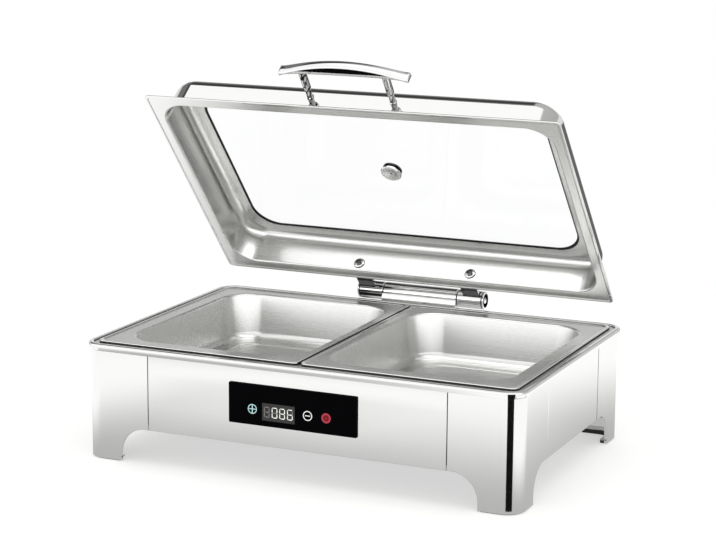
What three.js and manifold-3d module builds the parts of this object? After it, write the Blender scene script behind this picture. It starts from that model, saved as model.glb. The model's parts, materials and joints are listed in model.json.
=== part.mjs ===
// Electric chafing dish with a glazed hinged lid and two food pans.
// Millimetres, +Z up, front towards -Y, standing on its four foot pads at z = 0.
// The lid is drawn closed and then turned open about its hinge barrel.

import * as THREE from 'three';
import { mergeVertices } from 'three/addons/utils/BufferGeometryUtils.js';
import Module from 'manifold-3d';

const wasm = await Module();
wasm.setup();

// Driving dimensions of the base
const baseWidth = 560;
const baseDepth = 373;
const cornerRadius = 23;
const bandUnderside = 135.5;
const bandHeight = 8;
const bandOverhang = 3;
const archHeight = 43;
const footWidth = 49.5;
const archRadius = 33;
const legReachFront = 87.5;
const legReachSide = 94.5;
const sheet = 1.2;
const fit = 0.3;
const seamGap = 0.8;
const padLift = 1.2;

// Driving dimensions of the pans
const rimInset = 3.5;
const gutterWidth = 6.6;
const gutterEndWidth = 10.5;
const panGap = 2;
const panRimRise = 0.7;
const panFlange = 23.5;
const dividerFlange = 14.5;
const panWall = 1;
const foodPanDepth = 62;
const foodPanCorner = 42;
const waterPanFloor = 60;

// Driving dimensions of the lid and its hinge
const lidSideInset = 9;
const lidFrontInset = 15.8;
const lidBackInset = 15.2;
const lidHeight = 50;
const lidFlange = 15;
const lidWallCorner = 34;
const windowInset = 45.2;
const glassThickness = 4;
const lidOpenAngle = 48.3;
const hingeBehindBase = 18;
const hingeAboveBand = 8.7;
const barrelRadius = 12;
const barrelLength = 178;
const sleeveLength = 37;
const handleLength = 168;
const handleShift = 6.5;

// Driving dimensions of the electrical parts
const panelGlassWidth = 165;
const panelGlassHeight = 49;
const panelGlassCentre = 92.5;
const inletFromSeam = 42.5;
const inletCentreZ = 78;

// Places that follow from the driving dimensions
const halfWidth = baseWidth / 2;
const halfDepth = baseDepth / 2;
const bandTop = bandUnderside + bandHeight;
const seamX = halfWidth - legReachFront;
const seamY = halfDepth - legReachSide;
const panRimTop = bandTop + panRimRise;
const lidUnderside = panRimTop + fit;
const lidWidth = baseWidth - lidSideInset * 2;
const lidDepth = baseDepth - lidFrontInset - lidBackInset;
const lidBackEdge = halfDepth - lidBackInset;
const lidCentreY = lidBackEdge - lidDepth / 2;
const inletCentreX = seamX - inletFromSeam;
const hingeY = halfDepth + hingeBehindBase;
const hingeZ = bandTop + hingeAboveBand;
const cornerSteps = 6;
const overrun = 2;

// Finishes
const finish = (color, roughness, metalness) =>
  new THREE.MeshStandardMaterial({ color, roughness, metalness });
const polishedSteel = finish(0xe4e4e2, 0.18, 1);
const brushedSteel = finish(0xd6d6d3, 0.35, 1);
const satinSteel = finish(0xb4b4b0, 0.42, 1);
const chrome = finish(0xe9e9ea, 0.06, 1);
const galvanized = finish(0x9a9c9e, 0.5, 1);
const aluminium = finish(0xb8babc, 0.45, 1);
const blackRubber = finish(0x1a1a1a, 0.85, 0);
const blackPlastic = finish(0x202022, 0.5, 0);
const blackGlass = finish(0x050506, 0.08, 0);
const clearGlass = finish(0xe8f0ee, 0.03, 0);
clearGlass.transparent = true;
clearGlass.opacity = 0.25;
const circuitGreen = finish(0x1f5a38, 0.55, 0);
const brownWire = finish(0x6b3a1c, 0.6, 0);
const blueWire = finish(0x2456a8, 0.6, 0);
const greyWire = finish(0x8c8c8c, 0.6, 0);
const whiteFibre = finish(0xe6e2d6, 0.95, 0);
const brass = finish(0xb99a55, 0.35, 1);

// Geometry with merged corners, no slivers, and faces that point outwards
function closed(geometry) {
  const plain = geometry.index ? geometry.toNonIndexed() : geometry.clone();
  plain.deleteAttribute('normal');
  plain.deleteAttribute('uv');
  const merged = mergeVertices(plain);
  const index = merged.index.array;
  const place = merged.attributes.position;
  const kept = [];
  let volume = 0;
  const [a, b, c] = [new THREE.Vector3(), new THREE.Vector3(), new THREE.Vector3()];
  for (let i = 0; i < index.length; i += 3) {
    const [p, q, r] = [index[i], index[i + 1], index[i + 2]];
    if (p === q || q === r || r === p) continue;
    kept.push(p, q, r);
    volume += a.fromBufferAttribute(place, p).dot(
      b.fromBufferAttribute(place, q).cross(c.fromBufferAttribute(place, r)));
  }
  merged.setIndex(volume < 0 ? kept.reverse() : kept);
  return merged;
}

function solid(geometry) {
  const shape = closed(geometry);
  return new wasm.Manifold(new wasm.Mesh({
    numProp: 3,
    vertProperties: new Float32Array(shape.attributes.position.array),
    triVerts: new Uint32Array(shape.index.array),
  }));
}

function surface(body) {
  const mesh = body.getMesh();
  const geometry = new THREE.BufferGeometry();
  geometry.setAttribute('position', new THREE.BufferAttribute(mesh.vertProperties, 3));
  geometry.setIndex(new THREE.BufferAttribute(mesh.triVerts, 1));
  return geometry;
}

const join = (...shapes) => surface(shapes.map(solid).reduce((sum, next) => sum.add(next)));
const cut = (shape, ...tools) =>
  surface(tools.map(solid).reduce((left, tool) => left.subtract(tool), solid(shape)));

// A box between two opposite corners
function block(x0, x1, y0, y1, z0, z1) {
  const box = new THREE.BoxGeometry(x1 - x0, y1 - y0, z1 - z0);
  return box.translate((x0 + x1) / 2, (y0 + y1) / 2, (z0 + z1) / 2);
}

const shapeOf = (points) => new THREE.Shape(points.map(([u, v]) => new THREE.Vector2(u, v)));

// Flat outlines pushed along one axis: seen from above, from the front or from the side
function plate(points, z0, z1, holes = []) {
  const shape = shapeOf(points);
  shape.holes = holes.map((hole) => new THREE.Path(hole.map(([u, v]) => new THREE.Vector2(u, v))));
  const options = { depth: z1 - z0, bevelEnabled: false };
  return new THREE.ExtrudeGeometry(shape, options).translate(0, 0, z0);
}

function frontPrism(points, y0, y1) {
  return plate(points, 0, y1 - y0).rotateX(Math.PI / 2).translate(0, y1, 0);
}

function sidePrism(points, x0, x1) {
  const turn = new THREE.Matrix4().makeBasis(
    new THREE.Vector3(0, 1, 0), new THREE.Vector3(0, 0, 1), new THREE.Vector3(1, 0, 0));
  return plate(points, x0, x1).applyMatrix4(turn);
}

// Outline of a rectangle with round corners, the same number of points whatever its size
function roundedRect(halfX, halfY, radius, centreX = 0, centreY = 0, steps = cornerSteps) {
  const points = [];
  const corners = [[1, 1], [-1, 1], [-1, -1], [1, -1]];
  corners.forEach(([sx, sy], quarter) => {
    for (let i = 0; i <= steps; i += 1) {
      const angle = (quarter + i / steps) * Math.PI / 2;
      points.push([
        centreX + sx * (halfX - radius) + radius * Math.cos(angle),
        centreY + sy * (halfY - radius) + radius * Math.sin(angle),
      ]);
    }
  });
  return points;
}

// A skin through rings of equal count: joined end to start, or closed by a flat cap at each end
function loft(rings, endless) {
  const count = rings[0].length;
  const places = rings.flat(2);
  const index = [];
  const last = endless ? rings.length : rings.length - 1;
  for (let r = 0; r < last; r += 1) {
    const next = (r + 1) % rings.length;
    for (let i = 0; i < count; i += 1) {
      const j = (i + 1) % count;
      const [a, b, c, d] = [r * count + i, r * count + j, next * count + j, next * count + i];
      index.push(a, b, c, a, c, d);
    }
  }
  if (!endless) {
    const end = (rings.length - 1) * count;
    for (let i = 1; i < count - 1; i += 1) {
      index.push(0, i + 1, i, end, end + i, end + i + 1);
    }
  }
  const geometry = new THREE.BufferGeometry();
  geometry.setAttribute('position', new THREE.Float32BufferAttribute(places, 3));
  geometry.setIndex(index);
  return geometry;
}

// A pressed sheet: each [inset, height] of the profile is one rounded ring
function pressing(halfX, halfY, radiusAt, profile, centreX, centreY, endless) {
  const rings = profile.map(([inset, z]) =>
    roundedRect(halfX - inset, halfY - inset, radiusAt(inset), centreX, centreY)
      .map(([x, y]) => [x, y, z]));
  return loft(rings, endless);
}

// A turned piece about the Z axis from [radius, height] points
function turned(profile, sides = 32) {
  const points = profile.map(([radius, height]) => new THREE.Vector2(radius, height));
  return new THREE.LatheGeometry(points, sides).rotateX(Math.PI / 2);
}

function wire(points, radius, steps) {
  const path = new THREE.CatmullRomCurve3(points.map(([x, y, z]) => new THREE.Vector3(x, y, z)));
  const section = new THREE.Shape();
  const sides = 8;
  for (let i = 0; i < sides; i += 1) {
    const angle = (i / sides) * 2 * Math.PI;
    const point = [radius * Math.cos(angle), radius * Math.sin(angle)];
    if (i === 0) section.moveTo(...point);
    else section.lineTo(...point);
  }
  section.closePath();
  return new THREE.ExtrudeGeometry(section, { steps, bevelEnabled: false, extrudePath: path });
}

const dish = new THREE.Group();
const base = new THREE.Group();
dish.add(base);

function add(group, name, geometry, material) {
  const mesh = new THREE.Mesh(closed(geometry), material);
  mesh.name = name;
  group.add(mesh);
  return mesh;
}

const mirrorX = (geometry) => geometry.clone().applyMatrix4(new THREE.Matrix4().makeScale(-1, 1, 1));
const mirrorY = (geometry) => geometry.clone().applyMatrix4(new THREE.Matrix4().makeScale(1, -1, 1));

// Corner legs: a sheet wrapped round the corner, with a quarter-round arch cut from each
// wing, a folded hem along the arch and a narrow lip above the foot pad
const hemDepth = 4;
const seamFold = 8;
const skirtDrop = 7.5;
const padWidth = 9;
const padHeight = 5;
const padMargin = 3;
const panelTop = bandUnderside - fit;
const foldTop = bandUnderside - skirtDrop - fit;
const lipBottom = padHeight + fit;
const lipTop = lipBottom + sheet;
const footX = halfWidth - footWidth;
const footY = halfDepth - footWidth;

// One side of a strip that follows the rear right corner, from one wing end to the other
function cornerLine(inset, endX, endY) {
  const radius = cornerRadius - inset;
  const points = [[endX, halfDepth - inset]];
  for (let i = 0; i <= cornerSteps; i += 1) {
    const angle = Math.PI / 2 - (i / cornerSteps) * Math.PI / 2;
    points.push([
      halfWidth - cornerRadius + radius * Math.cos(angle),
      halfDepth - cornerRadius + radius * Math.sin(angle),
    ]);
  }
  points.push([halfWidth - inset, endY]);
  return points;
}

function cornerStrip(outer, inner, endX, endY, z0, z1) {
  const back = cornerLine(inner, endX, endY).reverse();
  return plate([...cornerLine(outer, endX, endY), ...back], z0, z1);
}

// The edge of one arch as [along, height], from the seam down the inner side of the foot
function archCurve(start, footEdge, grow) {
  const radius = archRadius + grow;
  const points = [[start, archHeight + grow]];
  for (let i = 0; i <= cornerSteps; i += 1) {
    const angle = Math.PI / 2 - (i / cornerSteps) * Math.PI / 2;
    points.push([
      footEdge - archRadius + radius * Math.cos(angle),
      archHeight - archRadius + radius * Math.sin(angle),
    ]);
  }
  points.push([footEdge + grow, padLift]);
  return points;
}

function archCut(seam, footEdge) {
  const start = seam - overrun;
  return [...archCurve(start, footEdge, 0), [footEdge, -overrun], [start, -overrun]];
}

function archHem(seam, footEdge) {
  const start = seam + seamGap / 2;
  const inner = archCurve(start, footEdge, 0).reverse();
  return [...archCurve(start, footEdge, sheet), ...inner];
}

function leg() {
  const face = sheet / 2;
  const startX = seamX + seamGap / 2;
  const startY = seamY + seamGap / 2;
  const open = cut(
    cornerStrip(0, sheet, startX, startY, padLift, panelTop),
    frontPrism(archCut(seamX, footX), halfDepth - sheet - overrun, halfDepth + overrun),
    sidePrism(archCut(seamY, footY), halfWidth - sheet - overrun, halfWidth + overrun),
  );
  return join(
    open,
    frontPrism(archHem(seamX, footX), halfDepth - hemDepth, halfDepth - face),
    sidePrism(archHem(seamY, footY), halfWidth - hemDepth, halfWidth - face),
    block(startX, startX + sheet, halfDepth - seamFold, halfDepth - face, archHeight, foldTop),
    block(halfWidth - seamFold, halfWidth - face, startY, startY + sheet, archHeight, foldTop),
    cornerStrip(face, padWidth + sheet, footX + face, footY + face, lipBottom, lipTop),
  );
}

const rearRightLeg = leg();
add(base, 'leg_rear_right', rearRightLeg, brushedSteel);
add(base, 'leg_rear_left', mirrorX(rearRightLeg), brushedSteel);
add(base, 'leg_front_right', mirrorY(rearRightLeg), brushedSteel);
add(base, 'leg_front_left', mirrorX(mirrorY(rearRightLeg)), brushedSteel);

// Foot pads: rubber shoes under the lips, just inside the leg sheets
const padInset = sheet + fit;
const rearRightPad = cornerStrip(padInset, padInset + padWidth, footX + padMargin,
  footY + padMargin, 0, padHeight);
add(base, 'foot_pad_rear_right', rearRightPad, blackRubber);
add(base, 'foot_pad_rear_left', mirrorX(rearRightPad), blackRubber);
add(base, 'foot_pad_front_right', mirrorY(rearRightPad), blackRubber);
add(base, 'foot_pad_front_left', mirrorX(mirrorY(rearRightPad)), blackRubber);

// Panels between the legs: flat sheet with folded side edges and a bottom return
const bottomReturn = 14;

function panel(halfLength, face, ...windows) {
  const edge = halfLength - seamGap / 2;
  const skin = block(-edge, edge, face - sheet, face, archHeight, panelTop);
  const inside = face - sheet / 2;
  const tray = join(
    skin,
    block(-edge, edge, face - bottomReturn, inside, archHeight, archHeight + sheet),
    block(-edge, -edge + sheet, face - seamFold, inside, archHeight, foldTop),
    block(edge - sheet, edge, face - seamFold, inside, archHeight, foldTop),
  );
  return windows.length ? cut(tray, ...windows) : tray;
}

// Control panel values, shared by the front panel's window and the pieces behind it
const glassSheet = 1.8;
const windowMargin = 6.5;
const windowHalfWidth = panelGlassWidth / 2 - windowMargin;
const windowLow = panelGlassCentre - panelGlassHeight / 2 + windowMargin;
const windowHigh = panelGlassCentre + panelGlassHeight / 2 - windowMargin;

// Mains inlet values, shared by the rear panel's window and the socket
const inletBodyWidth = 27;
const inletBodyHeight = 20;
const inletWindowX = inletBodyWidth / 2 + fit;
const inletWindowZ = inletBodyHeight / 2 + fit;

const frontWindow = block(-windowHalfWidth, windowHalfWidth, halfDepth - sheet - overrun,
  halfDepth + overrun, windowLow, windowHigh);
const rearWindow = block(inletCentreX - inletWindowX, inletCentreX + inletWindowX,
  halfDepth - sheet - overrun, halfDepth + overrun,
  inletCentreZ - inletWindowZ, inletCentreZ + inletWindowZ);
add(base, 'front_panel', mirrorY(panel(seamX, halfDepth, frontWindow)), brushedSteel);
add(base, 'rear_panel', panel(seamX, halfDepth, rearWindow), brushedSteel);
const sidePanel = panel(seamY, halfWidth);
add(base, 'left_panel', sidePanel.clone().rotateZ(Math.PI / 2), brushedSteel);
add(base, 'right_panel', sidePanel.clone().rotateZ(-Math.PI / 2), brushedSteel);

// Top frame: a rounded band round the outside, a step down to a ledge that carries the
// water pan, and a skirt behind the panels and legs
const ledgeDrop = 3.2;
const ledgeReach = 18;
const ledgeTop = bandTop - ledgeDrop;
const edgeEase = 1.2;
const skirtInset = sheet + fit;

const bandProfile = [
  [-bandOverhang + edgeEase, bandUnderside],
  [-bandOverhang, bandUnderside + edgeEase],
  [-bandOverhang, bandTop - edgeEase * 2],
  [-bandOverhang + edgeEase / 2, bandTop - edgeEase],
  [-bandOverhang + edgeEase * 2, bandTop],
  [rimInset - edgeEase, bandTop],
  [rimInset, bandTop - edgeEase],
  [rimInset, ledgeTop],
  [ledgeReach, ledgeTop],
  [ledgeReach, ledgeTop - sheet],
  [skirtInset + sheet, ledgeTop - sheet],
  [skirtInset + sheet, bandUnderside - skirtDrop],
  [skirtInset, bandUnderside - skirtDrop],
  [skirtInset, bandUnderside],
];
add(base, 'top_frame',
  pressing(halfWidth, halfDepth, (inset) => cornerRadius - inset, bandProfile, 0, 0, true),
  polishedSteel);

// Bottom cover: a flat sheet on top of the panels' bottom returns, with vent slots
const coverGap = sheet + fit;
const slotLength = 46;
const slotWidth = 5;
const slotCount = 5;
const slotPitch = 13;
const slotFromEdge = 50;
const coverBottom = archHeight + coverGap;
const coverTop = coverBottom + sheet;
const coverHalfX = halfWidth - sheet - seamFold;
const coverHalfY = halfDepth - sheet - seamFold;
const coverCorner = cornerRadius + footWidth / 4;
const slotFromCentre = halfWidth - slotFromEdge;
const slots = [];
for (const side of [-1, 1]) {
  for (let i = 0; i < slotCount; i += 1) {
    const y = (i - (slotCount - 1) / 2) * slotPitch;
    const hole = roundedRect(slotLength / 2, slotWidth / 2, slotWidth / 2 - fit,
      side * slotFromCentre, y, 2);
    slots.push(hole.reverse());
  }
}
add(base, 'bottom_cover',
  plate(roundedRect(coverHalfX, coverHalfY, coverCorner), coverBottom, coverTop, slots),
  galvanized);

// Water pan: one deep bowl under both food pans, hung by its rim on the frame's ledge
const waterRimOutside = rimInset + fit;
const bowlClear = 2;
const waterMouth = ledgeReach + bowlClear;
const waterDraft = 8;
const waterBend = 9;
const waterRimBottom = ledgeTop + fit;
const waterRimTop = waterRimBottom + panWall;
const waterFloorTop = waterPanFloor + panWall;
const waterProfile = [
  [waterMouth + waterDraft + waterBend, waterPanFloor],
  [waterMouth + waterDraft + waterBend / 3, waterPanFloor + waterBend / 3],
  [waterMouth + waterDraft, waterPanFloor + waterBend],
  [waterMouth, waterRimBottom],
  [waterRimOutside, waterRimBottom],
  [waterRimOutside, waterRimTop],
  [waterMouth + panWall, waterRimTop],
  [waterMouth + waterDraft + panWall, waterFloorTop + waterBend],
  [waterMouth + waterDraft + waterBend / 3 + panWall, waterFloorTop + waterBend / 3],
  [waterMouth + waterDraft + waterBend + panWall, waterFloorTop],
];
const waterCorner = 28;
const waterCornerAt = (inset) =>
  (inset > waterRimOutside ? waterCorner - panWall * (inset > waterMouth ? 1 : 0)
    : cornerRadius - rimInset);
add(base, 'water_pan',
  pressing(halfWidth, halfDepth, waterCornerAt, waterProfile, 0, 0, false), satinSteel);

// Food pans: a flat flange with a rolled edge, round-cornered bowl and a sunk floor
const beadHeight = panRimTop - waterRimTop - fit;
const beadWidth = 2.6;
const bowlDraft = 9;
const bowlBend = 10;
const floorLedge = 13;
const floorStep = 3;
const mouthEase = 2.5;
const flangeCorner = 8;
const foodFloor = panRimTop - foodPanDepth;
const foodHalfX = (halfWidth - rimInset - gutterWidth - panGap / 2) / 2;
const foodHalfY = halfDepth - rimInset - gutterEndWidth;
const foodCentreX = panGap / 2 + foodHalfX;
const beadBottom = panRimTop - beadHeight;
const flangeBottom = panRimTop - panWall;
const bowlFoot = panFlange + bowlDraft;
const foodProfile = [
  [bowlFoot + bowlBend + floorLedge + floorStep, foodFloor - panWall],
  [bowlFoot + bowlBend + floorLedge, foodFloor + floorStep - panWall],
  [bowlFoot + bowlBend, foodFloor + floorStep - panWall],
  [bowlFoot + bowlBend / 3, foodFloor + floorStep + bowlBend / 4 - panWall],
  [bowlFoot, foodFloor + floorStep + bowlBend],
  [panFlange + mouthEase / 2, flangeBottom - mouthEase],
  [panFlange - mouthEase, flangeBottom],
  [beadWidth, flangeBottom],
  [beadWidth, beadBottom + panWall / 2],
  [beadWidth - panWall / 2, beadBottom],
  [panWall / 2, beadBottom],
  [0, beadBottom + panWall / 2],
  [0, panRimTop - panWall / 2],
  [panWall / 2, panRimTop],
  [panFlange - mouthEase, panRimTop],
  [panFlange + mouthEase / 4 + panWall / 2, panRimTop - mouthEase / 3],
  [panFlange + mouthEase / 2 + panWall, panRimTop - mouthEase],
  [bowlFoot + panWall, foodFloor + floorStep + bowlBend],
  [bowlFoot + bowlBend / 3 + panWall / 2, foodFloor + floorStep + bowlBend / 4],
  [bowlFoot + bowlBend + panWall, foodFloor + floorStep],
  [bowlFoot + bowlBend + floorLedge + panWall / 2, foodFloor + floorStep],
  [bowlFoot + bowlBend + floorLedge + floorStep + panWall / 2, foodFloor],
];

// Across the flange the corner radius grows to the bowl's, and beside the divider the
// flange is narrower
const flangeShare = (inset) =>
  THREE.MathUtils.clamp((inset - beadWidth) / (panFlange - mouthEase - beadWidth), 0, 1);

function foodPan(side) {
  const rings = foodProfile.map(([inset, z]) => {
    const share = flangeShare(inset);
    const shift = share * (panFlange - dividerFlange) / 2;
    const grown = THREE.MathUtils.lerp(flangeCorner - Math.min(inset, beadWidth),
      foodPanCorner, share);
    const radius = grown - Math.max(0, inset - panFlange) / 2;
    return roundedRect(foodHalfX - inset + shift, foodHalfY - inset, radius,
      side * (foodCentreX - shift), 0).map(([x, y]) => [x, y, z]);
  });
  return loft(rings, false);
}

add(base, 'food_pan_left', foodPan(-1), satinSteel);
add(base, 'food_pan_right', foodPan(1), satinSteel);

// Heater under the water pan: plate, sheathed element, fibre pad and two brackets
const heaterMarginX = 90;
const heaterMarginY = 81.5;
const heaterSheet = 3;
const heaterCorner = 12;
const elementRadius = 3.2;
const elementRun = 45;
const elementMarginLeft = 68;
const elementMarginRight = 30;
const fibreMargin = 18;
const fibreSheet = 3.2;
const bracketFoot = 13;
const bracketHalfY = 40;
const heaterHalfX = halfWidth - heaterMarginX;
const heaterHalfY = halfDepth - heaterMarginY;
const elementLeft = elementMarginLeft - heaterHalfX;
const elementRight = heaterHalfX - elementMarginRight;
const heaterTop = waterPanFloor - fit;
const heaterBottom = heaterTop - heaterSheet;
const elementZ = heaterBottom - fit - elementRadius;
add(base, 'heater_plate',
  plate(roundedRect(heaterHalfX, heaterHalfY, heaterCorner), heaterBottom, heaterTop), aluminium);

const bendRadius = elementRun;
const elementPoints = [[elementRight, -elementRun, elementZ], [0, -elementRun, elementZ]];
const bendSteps = 4;
for (let i = 0; i <= bendSteps; i += 1) {
  const angle = -Math.PI / 2 - (i / bendSteps) * Math.PI;
  elementPoints.push([
    elementLeft + bendRadius * Math.cos(angle), bendRadius * Math.sin(angle), elementZ]);
}
elementPoints.push([0, elementRun, elementZ], [elementRight, elementRun, elementZ]);
const elementSteps = 40;
add(base, 'heating_element', wire(elementPoints, elementRadius, elementSteps), galvanized);

const fibreTop = coverTop + fit + fibreSheet;
add(base, 'insulation_pad',
  plate(roundedRect(heaterHalfX - fibreMargin, heaterHalfY - fibreMargin, heaterCorner),
    coverTop + fit, fibreTop), whiteFibre);

function heaterBracket() {
  const low = coverTop + fit;
  const high = heaterBottom - fit;
  const web = heaterHalfX;
  const points = [
    [web - bracketFoot, high - sheet], [web - bracketFoot, high], [web + sheet, high],
    [web + sheet, low + sheet], [web + bracketFoot, low + sheet], [web + bracketFoot, low],
    [web, low], [web, high - sheet],
  ];
  return frontPrism(points, -bracketHalfY, bracketHalfY);
}

add(base, 'heater_bracket_right', heaterBracket(), galvanized);
add(base, 'heater_bracket_left', mirrorX(heaterBracket()), galvanized);

// Thermal cut-out and temperature probe on the underside of the heater plate
const cutoutRadius = 8;
const cutoutHeight = 5.5;
const cutoutX = 60;
const cutoutStem = 3.5;
const probeRadius = 2.4;
const probeLength = 24;
const probeX = -40;
const probeEase = 0.8;
const sensorTop = heaterBottom - fit;
add(base, 'thermal_cutout', turned([
  [0, sensorTop - cutoutHeight],
  [cutoutStem, sensorTop - cutoutHeight],
  [cutoutRadius - sheet, sensorTop - cutoutHeight + sheet],
  [cutoutRadius - sheet, sensorTop - sheet],
  [cutoutRadius, sensorTop - sheet],
  [cutoutRadius, sensorTop],
  [0, sensorTop],
], 24).translate(cutoutX, 0, 0), blackPlastic);
add(base, 'temperature_probe', turned([
  [0, 0],
  [probeRadius - probeEase, 0],
  [probeRadius, probeEase],
  [probeRadius, probeLength - probeEase],
  [probeRadius - probeEase, probeLength],
  [0, probeLength],
], 16).rotateY(Math.PI / 2).translate(probeX, 0, sensorTop - probeRadius), brass);

// Touch panel: glass on the front sheet, housing through its window, board and display
const panelFaceY = -halfDepth;
const glassBack = panelFaceY - fit;
const glassEase = 2;
const housingWall = 1.6;
const housingDepth = 14;
const housingLug = 5;
const lugHeight = 12;
const boardSheet = 1.6;
const boardMargin = 4;
const boardStandoff = 4;
const boardFront = panelFaceY + housingDepth - housingWall - boardStandoff;
const postRadius = 2.2;
const displayLeft = -37;
const displayRight = 3;
const displayLow = 74;
const displayHigh = 96;

const glassOutline = roundedRect(panelGlassWidth / 2, panelGlassHeight / 2, glassEase,
  0, panelGlassCentre, 2);
add(base, 'touch_glass', frontPrism(glassOutline, glassBack - glassSheet, glassBack), blackGlass);

function controlHousing() {
  const halfX = windowHalfWidth - fit;
  const low = windowLow + fit;
  const high = windowHigh - fit;
  const back = panelFaceY + housingDepth;
  const lugFront = panelFaceY + sheet + fit;
  const middle = (low + high) / 2;
  const shell = cut(
    block(-halfX, halfX, panelFaceY, back, low, high),
    block(-halfX + housingWall, halfX - housingWall, panelFaceY - overrun, back - housingWall,
      low + housingWall, high - housingWall),
  );
  const posts = [];
  for (const side of [-1, 1]) {
    for (const z of [low + housingWall + postRadius * 2, high - housingWall - postRadius * 2]) {
      const x = side * (halfX - housingWall - postRadius * 3);
      posts.push(turned([[0, 0], [postRadius, 0], [postRadius, 1], [0, 1]], 12)
        .scale(1, 1, back - housingWall / 2 - boardFront - boardSheet - fit)
        .rotateX(Math.PI / 2).translate(x, back - housingWall / 2, z));
    }
  }
  return join(
    shell, ...posts,
    block(-halfX - housingLug, -halfX + housingWall, lugFront, lugFront + housingWall,
      middle - lugHeight / 2, middle + lugHeight / 2),
    block(halfX - housingWall, halfX + housingLug, lugFront, lugFront + housingWall,
      middle - lugHeight / 2, middle + lugHeight / 2),
  );
}

add(base, 'control_housing', controlHousing(), blackPlastic);
const boardHalfX = windowHalfWidth - housingWall - boardMargin / 2;
add(base, 'control_board', block(-boardHalfX, boardHalfX, boardFront, boardFront + boardSheet,
  windowLow + boardMargin, windowHigh - boardMargin), circuitGreen);
add(base, 'display_module', block(displayLeft, displayRight, panelFaceY + fit, boardFront - fit,
  Math.max(displayLow, windowLow + housingWall + fit * 2), displayHigh), blackPlastic);

// Mains inlet in the rear panel: flanged body with a keyed socket and three pins
const inletFlange = 3;
const inletFlangeSheet = 2.2;
const inletDepth = 20;
const socketWidth = 24;
const socketHeight = 16;
const socketDepth = 16;
const socketKey = 4;
const pinWidth = 2;
const pinHeight = 5;
const pinLength = 11;
const pinSpread = 7;
const tabLength = 4;
const rearFaceY = halfDepth;

function inletSocket() {
  const flangeX = inletBodyWidth / 2 + inletFlange;
  const flangeZ = inletBodyHeight / 2 + inletFlange;
  const front = rearFaceY + fit + inletFlangeSheet;
  const back = rearFaceY - inletDepth;
  const outline = roundedRect(flangeX, flangeZ, inletFlange, inletCentreX, inletCentreZ, 2);
  const mouth = [
    [inletCentreX - socketWidth / 2, inletCentreZ - socketHeight / 2],
    [inletCentreX + socketWidth / 2, inletCentreZ - socketHeight / 2],
    [inletCentreX + socketWidth / 2, inletCentreZ + socketHeight / 2 - socketKey],
    [inletCentreX + socketWidth / 2 - socketKey, inletCentreZ + socketHeight / 2],
    [inletCentreX - socketWidth / 2 + socketKey, inletCentreZ + socketHeight / 2],
    [inletCentreX - socketWidth / 2, inletCentreZ + socketHeight / 2 - socketKey],
  ];
  const body = cut(
    join(
      frontPrism(outline, rearFaceY + fit, front),
      block(inletCentreX - inletBodyWidth / 2, inletCentreX + inletBodyWidth / 2, back,
        front - sheet, inletCentreZ - inletBodyHeight / 2, inletCentreZ + inletBodyHeight / 2),
    ),
    frontPrism(mouth, front - socketDepth, front + overrun),
  );
  const pins = [];
  const tabs = [];
  const pinEnd = front - socketDepth + pinLength;
  for (const [dx, dz] of [[-pinSpread, -pinWidth], [0, pinWidth], [pinSpread, -pinWidth]]) {
    const [x, z] = [inletCentreX + dx, inletCentreZ + dz];
    pins.push(block(x - pinWidth / 2, x + pinWidth / 2, front - socketDepth - sheet, pinEnd,
      z - pinHeight / 2, z + pinHeight / 2));
    tabs.push(block(x - pinWidth / 2, x + pinWidth / 2, back - tabLength, back + sheet,
      z - pinHeight / 2, z + pinHeight / 2));
  }
  return join(body, ...pins, ...tabs);
}

add(base, 'inlet_socket', inletSocket(), blackPlastic);

// Power board behind the rear panel, standing on pillars, its parts towards the panel
const powerFromInlet = 35;
const powerWidth = 105;
const powerHeight = 46;
const powerBelowInlet = 12;
const powerStandoff = 16.5;
const pillarRadius = 3;
const relayWidth = 19;
const relayHeight = 16;
const relayDepth = 12;
const coilWidth = 26;
const coilHeight = 24;
const coilDepth = 11;
const canRadius = 6;
const powerRight = inletCentreX - powerFromInlet;
const powerLeft = powerRight - powerWidth;
const powerLow = inletCentreZ - powerBelowInlet;
const powerHigh = powerLow + powerHeight;
const powerFront = rearFaceY - powerStandoff;

function powerBoard() {
  const back = powerFront + boardSheet;
  const into = back - boardSheet / 2;
  const panelInside = rearFaceY - sheet - fit;
  const pillars = [];
  for (const x of [powerLeft + pillarRadius * 2, powerRight - pillarRadius * 2]) {
    for (const z of [powerLow + pillarRadius * 2, powerHigh - pillarRadius * 2]) {
      pillars.push(turned([[0, 0], [pillarRadius, 0], [pillarRadius, 1], [0, 1]], 12)
        .scale(1, 1, panelInside - into).rotateX(-Math.PI / 2).translate(x, into, z));
    }
  }
  const middleZ = (powerLow + powerHigh) / 2;
  const relayX = powerLeft + relayWidth;
  const coilX = (powerLeft + powerRight) / 2;
  const canX = powerRight - relayWidth;
  return join(
    block(powerLeft, powerRight, powerFront, back, powerLow, powerHigh),
    ...pillars,
    block(relayX - relayWidth / 2, relayX + relayWidth / 2, into, back + relayDepth,
      middleZ - relayHeight / 2, middleZ + relayHeight / 2),
    block(coilX - coilWidth / 2, coilX + coilWidth / 2, into, back + coilDepth,
      middleZ - coilHeight / 2, middleZ + coilHeight / 2),
    turned([[0, 0], [canRadius, 0], [canRadius, coilDepth], [0, coilDepth]], 16)
      .rotateX(-Math.PI / 2).translate(canX, into, middleZ),
  );
}

add(base, 'power_board', powerBoard(), circuitGreen);

// Terminal block on the bottom cover, with the leads that meet it
const terminalX = inletCentreX;
const terminalHalfX = 16;
const terminalFromRear = 50.5;
const terminalHalfY = 8;
const terminalHeight = 12;
const terminalSlot = 4;
const leadRadius = 1.5;
const leadGap = 0.6;
const terminalY = rearFaceY - terminalFromRear;
const terminalTop = coverTop + fit + terminalHeight;

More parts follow.
